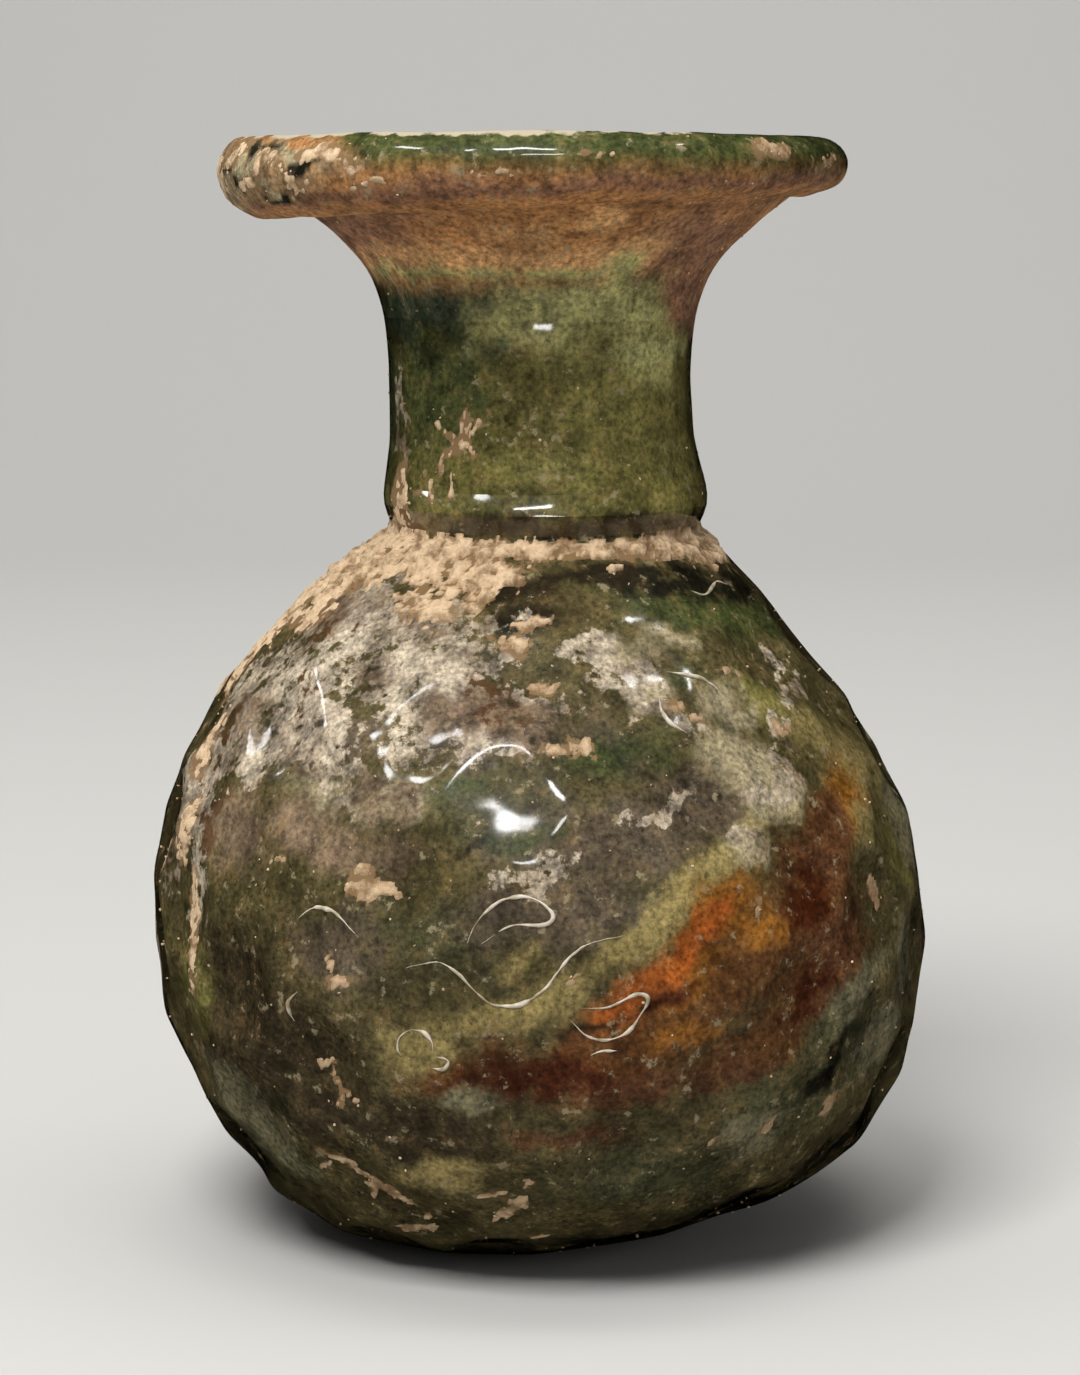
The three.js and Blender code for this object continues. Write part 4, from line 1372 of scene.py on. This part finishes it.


# Lifted edges of glass flakes, pale as painted highlights, each a line of (angle, height) round a hollow or
# along the band.
FLAKE_EDGES = (
    ((-36.5, 29.0), (-33.5, 30.1), (-30, 30.0), (-26, 28.6)),
    ((-35.5, 23.8), (-37.2, 22.8), (-36.8, 21.4)),
    ((-18.5, 26.4), (-16, 26.8), (-13.5, 27.0), (-11.3, 26.3), (-9.8, 25.5), (-7.3, 24.3), (-5.2, 24.0),
     (-2.4, 24.2), (0.4, 25.1), (2.6, 26.6), (4.4, 27.7), (7, 28.5), (11.7, 29.0)),
    ((-9.9, 28.4), (-9.2, 29.4), (-7.6, 30.5), (-5.4, 31.4), (-2.3, 31.8), (-0.1, 31.6), (1.7, 30.9),
     (1.9, 30.2), (0.3, 29.8), (-3.2, 29.8), (-5.9, 29.2), (-8, 28.4)),
    ((-18, 21.8), (-19.8, 21.2), (-20.2, 20.5), (-19.8, 19.9), (-18.4, 19.6)),
    ((-18, 21.8), (-16.2, 21.6), (-15.1, 21.0), (-15.1, 20.2)),
    ((-15.1, 19.1), (-13.5, 19.1), (-12.8, 19.6), (-13.5, 19.9), (-14.9, 19.9)),
    ((4.1, 23.0), (5.5, 22.1), (7.3, 21.5), (10.1, 21.4), (12.3, 22.0), (13.9, 23.1), (14.8, 24.1),
     (14.4, 24.6), (13, 24.6), (10.5, 24.0), (8.7, 23.7), (5.5, 23.8)),
    ((6.9, 20.3), (8.2, 20.5), (10.5, 20.5)),
    ((29.5, 46.7), (33, 46.4), (36.4, 45.9), (38.8, 45.2), (40, 44.2)),
    ((26, 45.4), (25, 44.4), (25.5, 43.2), (28, 42.4)),
    ((45, 51.9), (50, 51.6), (58, 52.3), (62, 52.0)),
)


def edge_tree():
    """Sweeps a thin round section along the flakes' edges."""
    tree = bpy.data.node_groups.new("Raise flake edges", "GeometryNodeTree")
    for name, kind in {"Edges": "Geometry", "Edge": "Material", "Radius": "Float"}.items():
        tree.interface.new_socket(name, in_out="INPUT", socket_type="NodeSocket" + kind)
    tree.interface.new_socket("Edges", in_out="OUTPUT", socket_type="NodeSocketGeometry")
    given = add(tree, "NodeGroupInput").outputs
    curves = add(tree, "GeometryNodeMeshToCurve", {"Mesh": given["Edges"]})
    taper = add(tree, "GeometryNodeSplineParameter").outputs["Factor"]
    swell = add(tree, "ShaderNodeMath", [taper, math.pi], operation="MULTIPLY")
    wave = add(tree, "ShaderNodeMath", [swell], operation="SINE")
    breaks = add(tree, "ShaderNodeTexNoise", {"Scale": 650, "Detail": 2})
    broken = add(
        tree, "ShaderNodeMapRange",
        {"Value": breaks, "From Min": 0.38, "From Max": 0.62, "To Min": 0.35, "To Max": 1.4},
    )
    tapered = add(tree, "ShaderNodeMath", [wave, broken], operation="MULTIPLY")
    width = add(tree, "ShaderNodeMath", [tapered, 0.12], operation="MAXIMUM")  # its ends stay solid
    section = add(tree, "GeometryNodeCurvePrimitiveCircle", {"Resolution": 6, "Radius": given["Radius"]})
    swept = add(
        tree, "GeometryNodeCurveToMesh",
        {"Curve": curves, "Profile Curve": section, "Scale": width, "Fill Caps": True},
    )
    real = add(tree, "GeometryNodeRealizeInstances", {"Geometry": swept})
    pale = add(tree, "GeometryNodeSetMaterial", {"Geometry": real, "Material": given["Edge"]})
    add(tree, "NodeGroupOutput", {"Edges": pale})
    return tree


EDGE_RADIUS = 0.16  # of an unbroken edge, in millimetres
EDGE_SHAKE, SHAKE_SIZE = 0.07, 0.9  # how far an edge wanders, and over what length, in millimetres
EDGE_LIFT = 0.01  # how far its middle stands off the glass, in millimetres


class BOTTLE_OT_flake_edges(bpy.types.Operator):
    """Raises the thin lifted edges of flakes round some hollows and along the amber band, pale as painted
    highlights
    """

    bl_idname = "bottle.flake_edges"
    bl_label = "Flake edges"

    def execute(self, context):
        glass = bpy.data.objects["bottle_glass"]
        shell = Shell(glass.data)
        heights = shell.places[:, :, 2].mean(1) / MM
        rising = np.maximum.accumulate(heights) + 1e-6 * np.arange(len(heights))
        verts, links = [], []
        for line in FLAKE_EDGES:
            angle, height = spline(line, 10).T
            place, outward = shell.at(angle, np.interp(height, rising, shell.climbs))
            shake = np.array([noise.noise_vector(Vector(p) / (SHAKE_SIZE * MM)) for p in place.tolist()])
            first = len(verts)
            verts += (place + EDGE_SHAKE * MM * shake + EDGE_LIFT * MM * outward).tolist()
            links += [(k, k + 1) for k in range(first, len(verts) - 1)]
        mesh = bpy.data.meshes.new("flake_edges")
        mesh.from_pydata(verts, links, [])
        edges = new_piece("flake_edges", mesh)
        mesh = grown(
            edges,
            edge_tree(),
            {"Edge": edge_highlight_material(context.scene.bottle_colours), "Radius": EDGE_RADIUS * MM},
        )
        if not mesh.polygons:
            raise RuntimeError("no flake edge was raised")
        put_places(mesh, places(mesh))
        smooth(mesh)
        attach(edges, "root")
        return {"FINISHED"}


SWEEP_SIDE = 12  # metres to each side, and towards the front
SWEEP_BEND = 0.7  # radius of the bend up to the back, in metres
# Broad panels light the bottle softly without showing in its gloss; small lamps sparkle. Each has its
# degrees round from the front and up, its distance, width and height in metres, its watts, and
# whether it shows in the gloss.
LAMPS = (
    ("Key panel", -24, 52, 0.6, 0.26, 0.26, 3.9, False),
    ("Top panel", 20, 80, 0.9, 0.5, 0.5, 1.5, False),
    ("Fill panel", 60, 15, 1.2, 0.8, 0.56, 1.6, False),
    ("Front sparkle", -9, 49, 0.6, 0.2, 0.04, 0.7, True),
    ("Low sparkle", 2, 31, 0.6, 0.16, 0.03, 0.3, True),
    ("Left sparkle", -60, 53, 0.6, 0.05, 0.05, 0.16, True),
    ("Far left sparkle", -108, 36, 0.6, 0.05, 0.05, 0.14, True),
    ("Right sparkle", 84, 58, 0.6, 0.03, 0.03, 0.07, True),
)
ROOM = "#e8e8ea"
ROOM_STRENGTH = 0.16
CAMERA_AIM, CAMERA_DISTANCE = 42.9, 300  # height looked at, and how far away, in millimetres
CAMERA_RISE = 8  # degrees looked down
CAMERA_LENS = 98.9


class BOTTLE_OT_stage(bpy.types.Operator):
    """Sets the bottle on a pale sweep under soft studio light, with the camera"""

    bl_idname = "bottle.stage"
    bl_label = "Studio stage"

    def execute(self, context):
        scene = context.scene
        sweep = bpy.data.meshes.new("paper_sweep")
        bend = [
            (0.5 + SWEEP_BEND * math.sin(t), SWEEP_BEND - SWEEP_BEND * math.cos(t))
            for t in np.linspace(0, math.pi / 2, 25)
        ]
        curve = [(-SWEEP_SIDE, 0), (-1.5, 0), *bend, (1.2, 2.5)]
        verts = [(x, y, z) for y, z in curve for x in (-SWEEP_SIDE, SWEEP_SIDE)]
        faces = [(2 * k, 2 * k + 1, 2 * k + 3, 2 * k + 2) for k in range(len(curve) - 1)]
        sweep.from_pydata(verts, [], faces)
        sweep.materials.append(stage_material())
        smooth(sweep)
        floor = new_piece("paper_sweep", sweep)
        floor.visible_glossy = False  # the dark gloss of the glass, as under a black studio flag

        for name, azimuth, rise, distance, wide, tall, power, glossy in LAMPS:
            light = bpy.data.lights.new(name, "AREA")
            light.shape = "RECTANGLE"
            light.size, light.size_y = wide, tall
            light.energy = power
            lamp = bpy.data.objects.new(name, light)
            lamp.visible_glossy = glossy
            lamp.visible_diffuse = not glossy
            turn, up = math.radians(azimuth), math.radians(rise)
            aim = Vector((0, 0, HEIGHT / 2))
            way = Vector((math.sin(turn) * math.cos(up), -math.cos(turn) * math.cos(up), math.sin(up)))
            lamp.location = aim + way * distance
            lamp.rotation_euler = way.to_track_quat("Z", "Y").to_euler()
            scene.collection.objects.link(lamp)

        # One more panel turns its back on the bottle and keeps the paper behind it pale.
        back = bpy.data.lights.new("Backdrop panel", "AREA")
        back.size, back.energy = 0.8, 9.0
        lamp = bpy.data.objects.new("Backdrop panel", back)
        lamp.location = (0, 0.15, 1.0)
        lamp.rotation_euler = Vector((0, -0.85, 0.45)).to_track_quat("Z", "Y").to_euler()
        lamp.visible_glossy = False
        scene.collection.objects.link(lamp)

        scene.view_settings.view_transform = "Standard"
        world = bpy.data.worlds.new("Soft room")
        scene.world = world
        world.use_nodes = True
        room = world.node_tree.nodes["Background"].inputs
        room["Color"].default_value = (*hex_colour(ROOM), 1)
        room["Strength"].default_value = ROOM_STRENGTH
        world.cycles_visibility.glossy = False

        camera = bpy.data.objects.new("Camera", bpy.data.cameras.new("Camera"))
        rise = math.radians(CAMERA_RISE)
        way = Vector((0, -math.cos(rise), math.sin(rise)))
        camera.location = Vector((0, 0, CAMERA_AIM * MM)) + way * (CAMERA_DISTANCE * MM)
        camera.rotation_euler = way.to_track_quat("Z", "Y").to_euler()
        camera.data.lens = CAMERA_LENS
        camera.data.clip_start = 0.01
        scene.collection.objects.link(camera)
        scene.camera = camera
        return {"FINISHED"}


class BOTTLE_PT_panel(bpy.types.Panel):
    """The bottle's pieces and its sizes and colours"""

    bl_label = "Roman Honeycomb Bottle"
    bl_idname = "BOTTLE_PT_panel"
    bl_space_type = "VIEW_3D"
    bl_region_type = "UI"
    bl_category = "Bottle"

    def draw(self, context):
        for operator in OPERATORS:
            self.layout.operator(operator.bl_idname)
        for group_name in GROUPS:
            group = getattr(context.scene, group_name)
            box = self.layout.box()
            for name in group.bl_rna.properties.keys():
                if name not in ("rna_type", "name"):
                    box.prop(group, name)


OPERATORS = (
    BOTTLE_OT_glass, BOTTLE_OT_soil_crust, BOTTLE_OT_soil_grains, BOTTLE_OT_flake_edges, BOTTLE_OT_stage,
)
GROUPS = {"bottle_form": BottleForm, "bottle_honeycomb": BottleHoneycomb, "bottle_colours": BottleColours}


def register():
    for kind in (*GROUPS.values(), *OPERATORS, BOTTLE_PT_panel):
        bpy.utils.register_class(kind)
    for name, group in GROUPS.items():
        setattr(bpy.types.Scene, name, PointerProperty(type=group))


def unregister():
    for name in GROUPS:
        delattr(bpy.types.Scene, name)
    for kind in reversed((*GROUPS.values(), *OPERATORS, BOTTLE_PT_panel)):
        bpy.utils.unregister_class(kind)


def main():
    register()
    bpy.ops.bottle.glass()
    bpy.ops.bottle.soil_crust()
    bpy.ops.bottle.soil_grains()
    bpy.ops.bottle.flake_edges()
    bpy.ops.bottle.stage()


if __name__ == "__main__":
    main()
